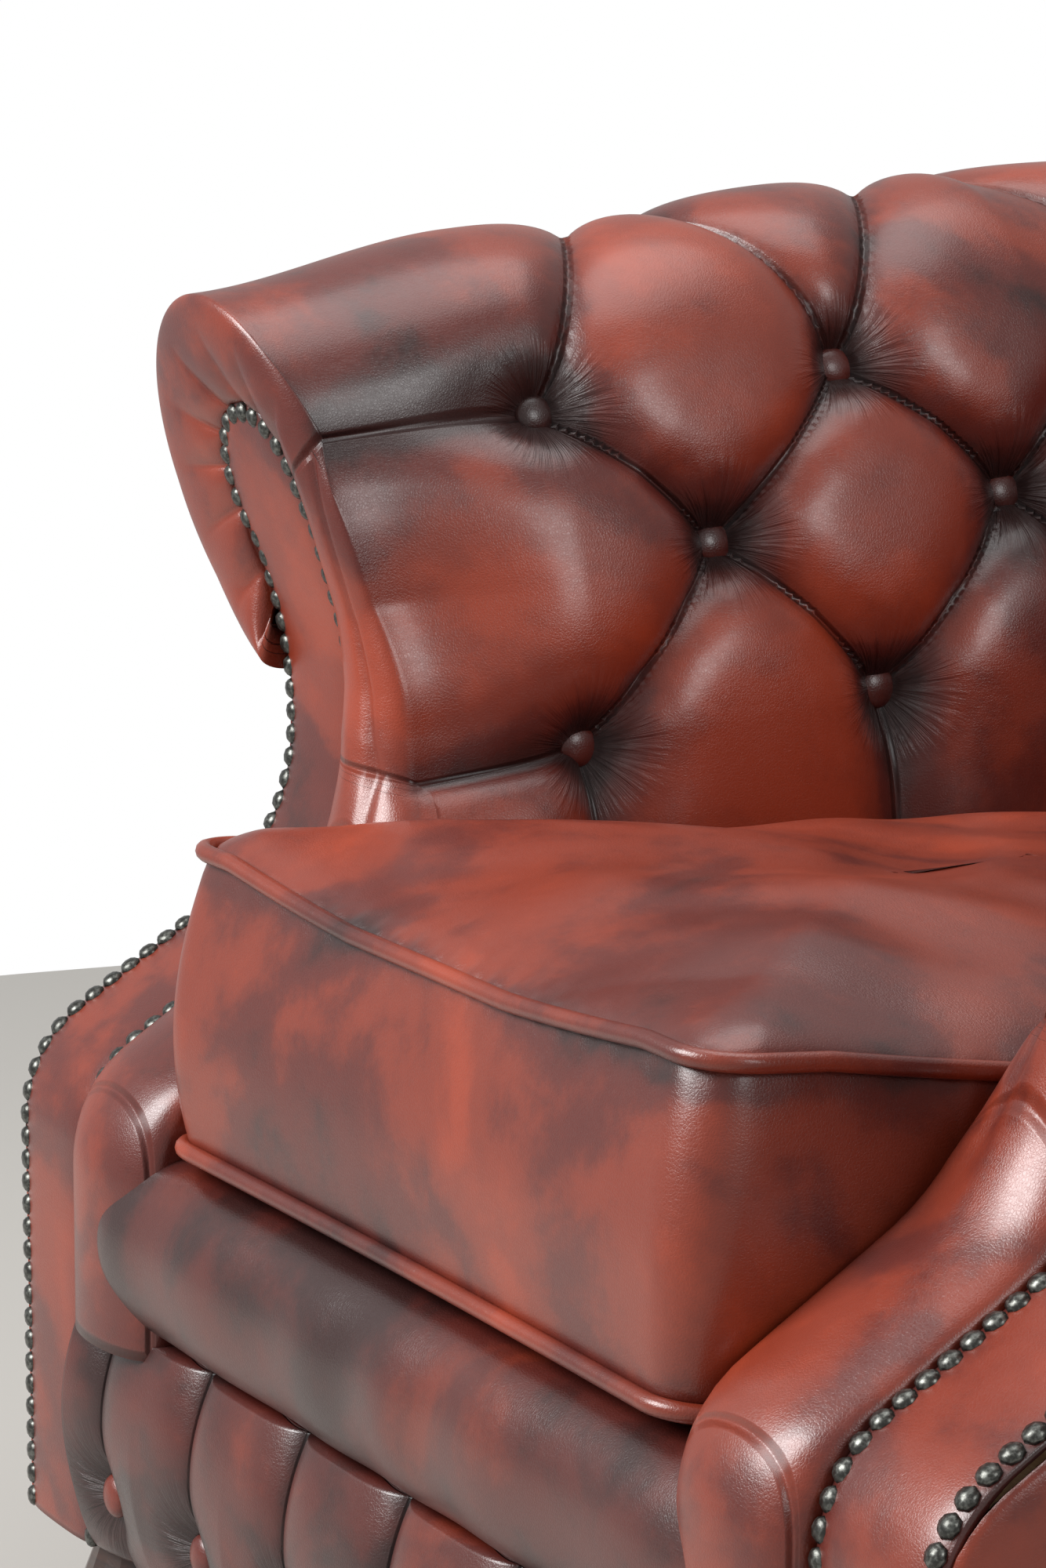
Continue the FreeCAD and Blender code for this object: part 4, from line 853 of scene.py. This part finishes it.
def make_buttons(name, spots, sign, nodes):
    """Covered buttons, one at each place, sunk in their hollows."""
    bm = bmesh.new()
    step = 0.01
    for u, v, point in spots:
        around_u = np.array([[u - step, u - step], [u + step, u + step]])
        around_v = np.array([[v - step, v + step], [v - step, v + step]])
        patch = crest_points(around_u, around_v, sign)
        normal = np.cross(patch[1, 0] - patch[0, 0], patch[0, 1] - patch[0, 0]) * sign
        normal = Vector(normal / np.linalg.norm(normal))
        seat = Vector(point) - normal * (sizes().button_depth + 0.0005)
        add_button(bm, seat, (1.0, 1.0, 0.52), normal.to_track_quat("Z", "Y").to_matrix())
    mesh = from_bmesh(name, bm)
    # Painted shade: the buttons' whole colour is darkened as if in the shade of their hollows.
    layer = mesh.attributes.new("tuft", "FLOAT_VECTOR", "POINT")
    layer.data.foreach_set("vector", [0.55, 0.0, 0.0] * len(mesh.vertices))
    piece = new_piece(name, mesh, "smooth leather")
    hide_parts(*nodes)


class UPHOLSTERY_OT_facings(bpy.types.Operator):
    """Makes the two nailed facings on the arm fronts"""

    bl_idname = "armchair.facings"
    bl_label = "Facings"

    def execute(self, context):
        for side, sign in SIDES:
            facing(side, sign)
            facing_nails(side, sign)
        return {"FINISHED"}


# The facing's scroll head, its straight edges and its foot, in metres

HEAD_X, HEAD_Z, HEAD_RADIUS = 0.408, 0.607, 0.047
FACING_INNER, FACING_OUTER = 0.354, 0.4415
FOOT_Z = 0.076
NAIL_INSET = 0.0058
NAIL_RINGS = ((-0.20, 1.0), (0.12, 0.98), (0.42, 0.74), (0.60, 0.0))


def facing_sides(height):
    """Inner and outer edge of the facing at a height, in metres."""
    climb = np.clip(height - HEAD_Z, -HEAD_RADIUS, HEAD_RADIUS)
    reach = np.sqrt(np.maximum(HEAD_RADIUS ** 2 - climb ** 2, 0.0))
    neck = FACING_INNER + 0.007 * np.clip((height - 0.56) / HEAD_RADIUS, 0.0, 1.0)
    outer = HEAD_X + reach
    return (np.where(height > HEAD_Z, HEAD_X - reach, neck),
            np.where(height < HEAD_Z, np.maximum(outer, FACING_OUTER), outer))


def facing(side, sign):
    top = HEAD_Z + HEAD_RADIUS
    heights = np.concatenate([
        np.linspace(FOOT_Z, 0.55, 120, endpoint=False),
        HEAD_Z - HEAD_RADIUS * np.cos(np.linspace(1.35, math.pi, 50))])
    heights = np.clip(heights, FOOT_Z, top - 0.0004)[:, None]
    inner, outer = facing_sides(heights)
    share = (1.0 - np.cos(np.linspace(0.0, math.pi, 33))) / 2.0
    x = inner + (outer - inner) * share
    z = np.repeat(heights, len(share), axis=1)
    plane = depth_plane(sweep_at(z / MM))
    rim = np.maximum(np.minimum(np.minimum(x - inner, outer - x), top - z), 0.0)
    pillow = 0.0055 * (1.0 - np.exp(-rim / 0.009)) - 0.001
    points = np.stack([sign * x, plane - pillow, z], axis=-1)
    tuft = np.zeros(points.shape)
    # Painted shade: darker towards the facing's rounded edges.
    tuft[..., 0] = 0.75 * np.exp(-rim / 0.006)
    back = points[:, ::-1].copy()
    back[..., 1] = plane[:, ::-1] + 0.007
    mesh = laid_grid("facing_leather_" + side, closed(points, back), closed(tuft, tuft[:, ::-1]))
    piece = new_piece("facing_leather_" + side, mesh, "smooth leather")
    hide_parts("facing_" + side)


def nail_line(sign):
    """Places of the nails round one facing, evenly spaced."""
    head = HEAD_RADIUS - NAIL_INSET
    path = [(FACING_INNER + NAIL_INSET, z) for z in np.linspace(0.080, HEAD_Z - 0.01, 160)]
    for turn in np.linspace(math.pi, -0.9, 120):
        path.append((HEAD_X + head * math.cos(turn), HEAD_Z + head * math.sin(turn)))
    path += [(FACING_OUTER - NAIL_INSET, z) for z in np.linspace(HEAD_Z - 0.045, 0.080, 160)]
    x, z = np.array(path).T
    spots = np.stack([sign * x, depth_plane(sweep_at(z / MM)), z], axis=-1)
    steps = np.concatenate([[0.0], np.cumsum(np.linalg.norm(np.diff(spots, axis=0), axis=1))])
    wanted = np.linspace(0.0, steps[-1], int(steps[-1] / sizes().nail_pitch) + 1)
    return np.stack([np.interp(wanted, steps, spots[:, axis]) for axis in range(3)], axis=-1)


def nail_head(radius):
    """A shallow dome along Z: its rings as open cones, welded, with a closed base."""
    bm = bmesh.new()
    for (low, wide), (high, narrow) in zip(NAIL_RINGS, NAIL_RINGS[1:]):
        made = bmesh.ops.create_cone(bm, cap_ends=False, segments=8, radius1=radius * wide,
                                     radius2=radius * narrow, depth=radius * (high - low))
        middle = Vector((0.0, 0.0, radius * (low + high) / 2.0))
        bmesh.ops.translate(bm, vec=middle, verts=made["verts"])
    weld(bm, radius * 0.01)
    return from_bmesh("nail_head", bm)


def facing_nails(side, sign):
    head = nail_head(sizes().nail_radius)
    bm = bmesh.new()
    for spot in nail_line(sign):
        above, below = sweep_at((spot[2] + np.array([0.004, -0.004])) / MM) * MM
        normal = Vector((0.0, -0.008, above - below)).normalized()
        place = Matrix.Translation(Vector(spot) + normal * 0.0012)
        start = len(bm.verts)
        bm.from_mesh(head)
        bm.verts.ensure_lookup_table()
        turn = normal.to_track_quat("Z", "Y").to_matrix().to_4x4()
        bmesh.ops.transform(bm, matrix=place @ turn, verts=bm.verts[start:])
    bpy.data.meshes.remove(head)
    new_piece("facing_nails_" + side, from_bmesh("facing_nails_" + side, bm),
              "antique nail")


class UPHOLSTERY_OT_outside(bpy.types.Operator):
    """Makes the plain leather on the outside arms and the outside back"""

    bl_idname = "armchair.outside"
    bl_label = "Outside leather"

    def execute(self, context):
        for side, sign in SIDES:
            outside_arm(side, sign)
        outside_back()
        return {"FINISHED"}


# The plain outside panels, in metres

OUTSIDE_TOP = 0.490
OUTSIDE_REACH = 0.1945
LEATHER = 0.004


def outside_rows():
    return np.linspace(0.0, 1.0, 60)


def outside_height(share, distance):
    """Heights up a panel whose top follows the rise of the arms."""
    return FOOT_Z + share * (OUTSIDE_TOP + climb_at(distance / MM) * MM - FOOT_Z)


def panel_mesh(name, outer, thickness):
    """A panel from its outer surface, closed by an inner one."""
    inner = outer - surface_normals(outer) * thickness
    return laid_grid(name, closed(outer, inner[:, ::-1]))


def outside_arm(side, sign):
    half = sizes().seat_half_width
    radius = sizes().corner_radius
    end = sizes().seat_depth - radius
    part, climb = np.meshgrid(np.linspace(0.0, 1.0, 90), outside_rows(), indexing="ij")
    front = sweep_at((FOOT_Z + climb * (0.495 - FOOT_Z)) / MM) * MM + 0.0004
    distance = front + (end - front) * part
    wide = 0.1850 + 0.0095 * np.minimum(part / 0.12, 1.0) ** 0.6
    dish = 0.004 * np.sin(math.pi * climb) * np.minimum(part / 0.15, 1.0)
    straight = np.stack([sign * (half + wide - dish), sizes().front_plane + distance,
                         outside_height(climb, distance)], axis=-1)

    turns = np.radians(np.linspace(0.0, 88.5, 24)[1:])
    bend, climb = np.meshgrid(turns, outside_rows(), indexing="ij")
    reach = radius + OUTSIDE_REACH - 0.004 * np.sin(math.pi * climb)
    corner = np.stack([sign * (half - radius + reach * np.cos(bend)),
                       sizes().front_plane + end + reach * np.sin(bend),
                       outside_height(climb, end)], axis=-1)
    mesh = panel_mesh("outside_leather_" + side, np.concatenate([straight, corner], axis=0),
                      LEATHER * sign)
    piece = new_piece("outside_leather_" + side, mesh, "smooth leather")
    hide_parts("outside_arm_" + side)


def outside_back():
    reach = sizes().seat_half_width - sizes().corner_radius + 0.004
    x, share = np.meshgrid(np.linspace(-reach, reach, 80), outside_rows(), indexing="ij")
    z = outside_height(share, sizes().seat_depth - sizes().corner_radius)
    y = (sizes().front_plane + sizes().seat_depth + OUTSIDE_REACH
         - 0.004 * np.sin(math.pi * share))
    mesh = panel_mesh("outside_back_leather", np.stack([x, y, z], axis=-1), -LEATHER)
    piece = new_piece("outside_back_leather", mesh, "smooth leather")
    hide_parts("outside_back")


class UPHOLSTERY_OT_front(bpy.types.Operator):
    """Makes the front roll, the pleated border under it and the border's buttons"""

    bl_idname = "armchair.front"
    bl_label = "Front roll and border"

    def execute(self, context):
        front_roll()
        front_border()
        return {"FINISHED"}


# The plain roll under the cushion and the border below it, in metres

ROLL_REACH = 0.3260
ROLL_MIDDLE = 0.2545
ROLL_HALF = 0.0470
BORDER_REACH = 0.3535
BORDER_TOP = 0.2065
BORDER_BUTTONS_Z = 0.114


def front_roll():
    x = np.linspace(-ROLL_REACH, ROLL_REACH, 200)
    angle = np.linspace(-math.pi * 0.5, math.pi * 0.5, 48)
    grid_x, turn = np.meshgrid(x, angle, indexing="ij")
    wave = 0.0012 * np.sin(grid_x * 61.0 + 1.2 * np.sin(grid_x * 17.0))
    y = sizes().front_plane + 0.006 - (0.0385 + wave) * np.cos(turn) ** 0.8
    rim = np.minimum(np.abs(grid_x + ROLL_REACH), np.abs(grid_x - ROLL_REACH))
    y = y + 0.024 * np.exp(-rim / 0.013)
    z = ROLL_MIDDLE + ROLL_HALF * np.sin(turn)
    back = straight_back(x, (0.030, 0.030, 0.015),
                         (ROLL_MIDDLE + ROLL_HALF - 0.001, 0.2155, 0.2085))
    points = closed(np.stack([grid_x, y, z], axis=-1), back)
    # Painted shade: the whole roll is darkened as if in the cushion's shadow, and more so towards
    # its lower seam.
    tuft = np.zeros(points.shape)
    tuft[..., 0] = 0.55 + 0.4 * np.exp(-(points[..., 2] - 0.2075) / 0.010)
    piece = new_piece("front_roll_leather", laid_grid("front_roll_leather", points, tuft),
                      "smooth leather")
    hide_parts("front_roll")


def front_border():
    pitch = sizes().border_pitch
    x = np.linspace(-BORDER_REACH, BORDER_REACH, 420)
    grid_x, share = np.meshgrid(x, np.linspace(0.0, 1.0, 90), indexing="ij")
    z = BORDER_TOP + (FOOT_Z - BORDER_TOP) * share
    rise = z - BORDER_BUTTONS_Z
    cell = (grid_x / pitch) - np.rint(grid_x / pitch)
    away = np.hypot(cell * pitch, rise)
    belly = 0.020 * np.sin(np.pi * np.clip(share * 0.94 + 0.06, 0.0, 1.0)) ** 0.7
    line = np.clip(rise / 0.093, 0.0, 1.0)
    pleat = np.abs(np.sin(np.pi * cell))
    fold = 1.0 - puff(np.clip(pleat, 0.0, 1.0))
    above = 0.013 * fold * line ** 0.45
    below = 0.0072 * fold * np.clip(-rise / 0.03, 0.0, 1.0)
    funnel = 0.011 * bell(away, 0.017) + 0.006 * bell(away, 0.040)
    y = sizes().front_plane - 0.010 - belly + above + below + funnel
    points = closed(np.stack([grid_x, y, z], axis=-1),
                    straight_back(x, (0.013, 0.013), (FOOT_Z, BORDER_TOP)))
    # Painted shade: the whole border is darkened, and more in the funnels round its buttons and in
    # the folds between pleats.
    hollow_shade = 0.45 + bell(away, 0.026) * 0.8 + (1.0 - pleat) ** 3 * 0.5 * line
    tuft = np.stack([np.clip(hollow_shade, 0.0, 1.0), bell(away, 0.0125), away], axis=-1)
    local = np.stack([cell * pitch, rise], axis=-1) / 0.07
    lattice = np.stack([np.where(rise > 0.0, cell, 0.5), np.full_like(cell, 0.5)], axis=-1)
    mesh = laid_grid("front_border_leather", points, carried_back(tuft, 2),
                     carried_back(lattice, 2), carried_back(local, 2))
    piece = new_piece("front_border_leather", mesh, "buttoned leather")
    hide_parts("front_border")
    bm = bmesh.new()
    for index in range(-3, 4):
        seat = Vector((pitch * index, sizes().front_plane - 0.0135, BORDER_BUTTONS_Z))
        add_button(bm, seat, (1.0, 0.5, 1.0))
    piece = new_piece("border_button_caps", from_bmesh("border_button_caps", bm),
                      "smooth leather")
    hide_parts("border_buttons")


class UPHOLSTERY_OT_cushion(bpy.types.Operator):
    """Makes the loose seat cushion with its piping"""

    bl_idname = "armchair.cushion"
    bl_label = "Seat cushion"

    def execute(self, context):
        cushion()
        return {"FINISHED"}


# The cushion before it is tipped, in metres

CUSHION_HALF = 0.250
CUSHION_DEEP = 0.2765
CUSHION_BOX = 0.136
CUSHION_PULL = 0.012
CUSHION_TIP = math.radians(-5.0)


def cushion_plan(share, inset, pull):
    """Points of the cushion's plan by their share of the way round, its sides drawn in."""
    half = CUSHION_HALF - inset
    deep = CUSHION_DEEP - inset
    radius = max(0.026 - inset * 0.25, 0.008)
    corners = []
    for index, (way_x, way_y) in enumerate(((1, 1), (-1, 1), (-1, -1), (1, -1))):
        for turn in np.linspace(0.0, math.pi / 2.0, 9) + index * math.pi / 2.0:
            corners.append((way_x * (half - radius) + radius * math.cos(turn),
                            way_y * (deep - radius) + radius * math.sin(turn)))
    corners = np.array(corners + corners[:1])
    marks = np.array([index + step for index in range(4)
                      for step in np.linspace(-0.09, 0.09, 9)] + [3.91])
    x, y = (np.interp(share * 4.0 - 0.09, marks, corners[:, axis]) for axis in (0, 1))
    bow = np.where(np.abs(x / half) > np.abs(y / deep), np.cos(y / deep * math.pi / 2.0),
                   np.cos(x / half * math.pi / 2.0))
    squeeze = 1.0 - pull * bow
    return x * squeeze, y * squeeze


def corner_lift(x, y):
    """Rise of the top seam towards the corners."""
    return 0.010 * np.clip((np.hypot(x / 0.247, y / 0.2755) - 1.05) / 0.25, 0.0, 1.0)


def cushion_space(points):
    """Tips the cushion back with the platform and sets it down in its place."""
    y = points[..., 1] + 0.2755
    z = points[..., 2]
    turned_y = y * math.cos(CUSHION_TIP) - z * math.sin(CUSHION_TIP)
    turned_z = y * math.sin(CUSHION_TIP) + z * math.cos(CUSHION_TIP)
    return np.stack([points[..., 0], turned_y + sizes().front_plane - 0.009,
                     turned_z + 0.3135], axis=-1)


def cushion_profile():
    """Inset, height and pull of each row: the bottom, the box and the crowned top."""
    rows = []
    for step in np.linspace(0.0, 1.0, 30, endpoint=False):
        rows.append((0.235 * (1.0 - step), -0.004 * (1.0 - step), CUSHION_PULL))
    for step in np.linspace(0.0, 1.0, 26, endpoint=False):
        swell = 0.011 * math.sin(math.pi * step) ** 0.8
        rows.append((-swell, CUSHION_BOX * step, CUSHION_PULL))
    for step in np.linspace(0.0, 1.0, 60):
        rise = sizes().cushion_crown * math.sin(step * math.pi / 2.0) ** 0.75
        rows.append((0.2465 * step ** 1.15, CUSHION_BOX + rise, CUSHION_PULL * (1.0 - step)))
    return rows


def cushion():
    around = np.linspace(0.0, 1.0, 400, endpoint=False)
    profile = cushion_profile()
    points = np.zeros((len(around) + 1, len(profile), 3))
    for row, (inset, height, pull) in enumerate(profile):
        x, y = cushion_plan(around, inset, pull)
        points[:-1, row] = np.stack([x, y, np.full_like(x, height)], axis=-1)
    points[-1] = points[0]
    x, y, z = points[..., 0], points[..., 1], points[..., 2]
    rumple = (0.0018 * np.sin(x * 43.0 + 2.0 * np.sin(y * 21.0))
              + 0.0012 * np.sin(y * 57.0 + 1.5 * np.sin(x * 33.0)))
    top = np.clip((z - CUSHION_BOX) / 0.03, 0.0, 1.0)
    dent = 0.013 * np.exp(-((x + 0.02) / 0.10) ** 2 - ((y + 0.02) / 0.12) ** 2)
    lift = corner_lift(x, y) * np.clip((z - 0.07) / 0.07, 0.0, 1.0)
    risen = z + top * (rumple - dent) + lift
    edge = np.minimum(np.abs(risen - CUSHION_BOX), np.abs(risen)) / 0.008
    pucker = 0.0016 * np.sin(np.arctan2(y, x) * 90.0) * np.exp(-edge ** 2)
    # Painted shade: darker in the creases along the piped seams.
    tuft = np.zeros(points.shape)
    tuft[..., 0] = 0.55 * np.exp(-edge * 1.3)
    points[..., 2] = risen + pucker * (risen > 0.02)
    mesh = laid_grid("cushion_leather", cushion_space(points), tuft)
    piece = new_piece("cushion_leather", mesh, "smooth leather", CUSHION)
    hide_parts("cushion_cover", "cushion_core")
    for label, height in (("top_piping", CUSHION_BOX + 0.0005), ("bottom_piping", 0.0005)):
        x, y = cushion_plan(around, -0.0035, CUSHION_PULL)
        line = np.stack([x, y, height + corner_lift(x, y) * (height > 0.05)], axis=-1)
        tube = tube_mesh("cushion_" + label, cushion_space(line), sizes().piping_radius)
        cord = new_piece("cushion_" + label + "_cord", tube, "smooth leather", CUSHION)
        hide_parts("cushion_" + label)


def tube_mesh(name, line, radius):
    """A closed tube along a loop of points."""
    ahead = np.roll(line, -1, axis=0) - np.roll(line, 1, axis=0)
    ahead /= np.linalg.norm(ahead, axis=1, keepdims=True)
    side = np.cross(ahead, np.array([0.0, 0.0, 1.0]))
    side /= np.linalg.norm(side, axis=1, keepdims=True)
    up = np.cross(side, ahead)
    turn = np.linspace(0.0, math.tau, 13)
    points = (line[:, None] + radius * (np.cos(turn)[None, :, None] * side[:, None]
                                        + np.sin(turn)[None, :, None] * up[:, None]))
    return laid_grid(name, np.concatenate([points, points[:1]], axis=0))


class UPHOLSTERY_OT_carried(bpy.types.Operator):
    """Gives the carried-over frame, springs, cloths and feet their finishes"""

    bl_idname = "armchair.carried"
    bl_label = "Frame finishes"

    FINISHES = {"frame_wood": "beech", "foot_wood": "stained foot", "spring_wire": "spring wire",
                "glide": "glide", "webbing": "webbing", "lining": "lining",
                "stuffing": "wadding", "leather": "smooth leather"}

    def execute(self, context):
        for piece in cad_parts.values():
            for slot in piece.material_slots:
                name = slot.material.name if slot.material else ""
                for key, finish in self.FINISHES.items():
                    if key in name:
                        slot.material = material(finish)
        return {"FINISHED"}


class UPHOLSTERY_OT_stage(bpy.types.Operator):
    """Sets the floor, the backdrop, the lamps and the camera"""

    bl_idname = "armchair.stage"
    bl_label = "Stage"

    def execute(self, context):
        set_camera()
        set_floor()
        set_light()
        return {"FINISHED"}


CAMERA_PLACE = (2.0359, -1.42894, 0.9617)
CAMERA_AZIMUTH = math.radians(62.189)
CAMERA_ELEVATION = math.radians(10.68)
CAMERA_LENS = 121.25
LAMPS = (("key", (-0.9, -2.7, 2.3), (0.0, 0.0, 0.45), 150.0, 1.6),
         ("side", (2.9, 0.4, 2.2), (0.0, 0.0, 0.45), 36.0, 1.2),
         ("top", (-0.5, 0.1, 3.0), (0.0, 0.0, 0.3), 34.0, 2.0))
WORLD_LIGHT = 0.45


def staged(name, data, place=(0.0, 0.0, 0.0), forward=None):
    """Puts a lamp, the camera or the floor in the scene, looking along a direction."""
    item = bpy.data.objects.new(name, data)
    item.location = place
    if forward is not None:
        item.rotation_mode = "QUATERNION"
        item.rotation_quaternion = forward.to_track_quat("-Z", "Y")
    bpy.context.scene.collection.objects.link(item)
    return item


def set_camera():
    data = bpy.data.cameras.new("camera")
    data.lens = CAMERA_LENS
    data.sensor_width = 36.0
    data.sensor_fit = "AUTO"
    level = math.cos(CAMERA_ELEVATION)
    forward = Vector((-math.sin(CAMERA_AZIMUTH) * level, math.cos(CAMERA_AZIMUTH) * level,
                      -math.sin(CAMERA_ELEVATION)))
    bpy.context.scene.camera = staged("camera", data, CAMERA_PLACE, forward)


def set_floor():
    bm = bmesh.new()
    bmesh.ops.create_circle(bm, cap_ends=True, segments=128, radius=1.93)
    floor = from_bmesh("floor", bm, outward=False)
    floor.materials.append(
        Tree("floor").finish(Base_Color=rgba((0.40, 0.385, 0.36)), Roughness=0.6))
    staged("floor", floor)


def set_light():
    for name, place, aim, power, size in LAMPS:
        light = bpy.data.lights.new(name, "AREA")
        light.energy = power
        light.size = size
        staged(name, light, place, Vector(aim) - Vector(place))
    scene = bpy.context.scene
    world = bpy.data.worlds.new("studio")
    scene.world = world
    world.use_nodes = True
    nodes, links = world.node_tree.nodes, world.node_tree.links
    background = nodes["Background"]
    background.inputs["Color"].default_value = (1.0, 1.0, 1.0, 1.0)
    seen = nodes.new("ShaderNodeLightPath").outputs["Is Camera Ray"]
    level = nodes.new("ShaderNodeMath")
    level.operation = "MAXIMUM"
    level.inputs[1].default_value = WORLD_LIGHT
    links.new(seen, level.inputs[0])
    links.new(level.outputs[0], background.inputs["Strength"])
    scene.view_settings.view_transform = "Standard"


class UPHOLSTERY_PT_panel(bpy.types.Panel):
    """Lists the steps that build the armchair"""

    bl_idname = "UPHOLSTERY_PT_panel"
    bl_label = "Armchair"
    bl_space_type = "VIEW_3D"
    bl_region_type = "UI"
    bl_category = "Armchair"

    def draw(self, context):
        for step in STEPS:
            self.layout.operator(step.bl_idname)


STEPS = (UPHOLSTERY_OT_inside_arms, UPHOLSTERY_OT_inside_back, UPHOLSTERY_OT_facings,
         UPHOLSTERY_OT_outside, UPHOLSTERY_OT_front, UPHOLSTERY_OT_cushion,
         UPHOLSTERY_OT_carried, UPHOLSTERY_OT_stage)
CLASSES = (UpholsterySizes, UpholsteryColours) + STEPS + (UPHOLSTERY_PT_panel,)


def register():
    for item in CLASSES:
        bpy.utils.register_class(item)
    bpy.types.Scene.armchair_sizes = bpy.props.PointerProperty(type=UpholsterySizes)
    bpy.types.Scene.armchair_colours = bpy.props.PointerProperty(type=UpholsteryColours)


def unregister():
    del bpy.types.Scene.armchair_colours
    del bpy.types.Scene.armchair_sizes
    for item in reversed(CLASSES):
        bpy.utils.unregister_class(item)


def main():
    register()
    bpy.ops.armchair.inside_arms()
    bpy.ops.armchair.inside_back()
    bpy.ops.armchair.facings()
    bpy.ops.armchair.outside()
    bpy.ops.armchair.front()
    bpy.ops.armchair.cushion()
    bpy.ops.armchair.carried()
    bpy.ops.armchair.stage()
    bpy.context.view_layer.update()


if __name__ == "__main__":
    main()
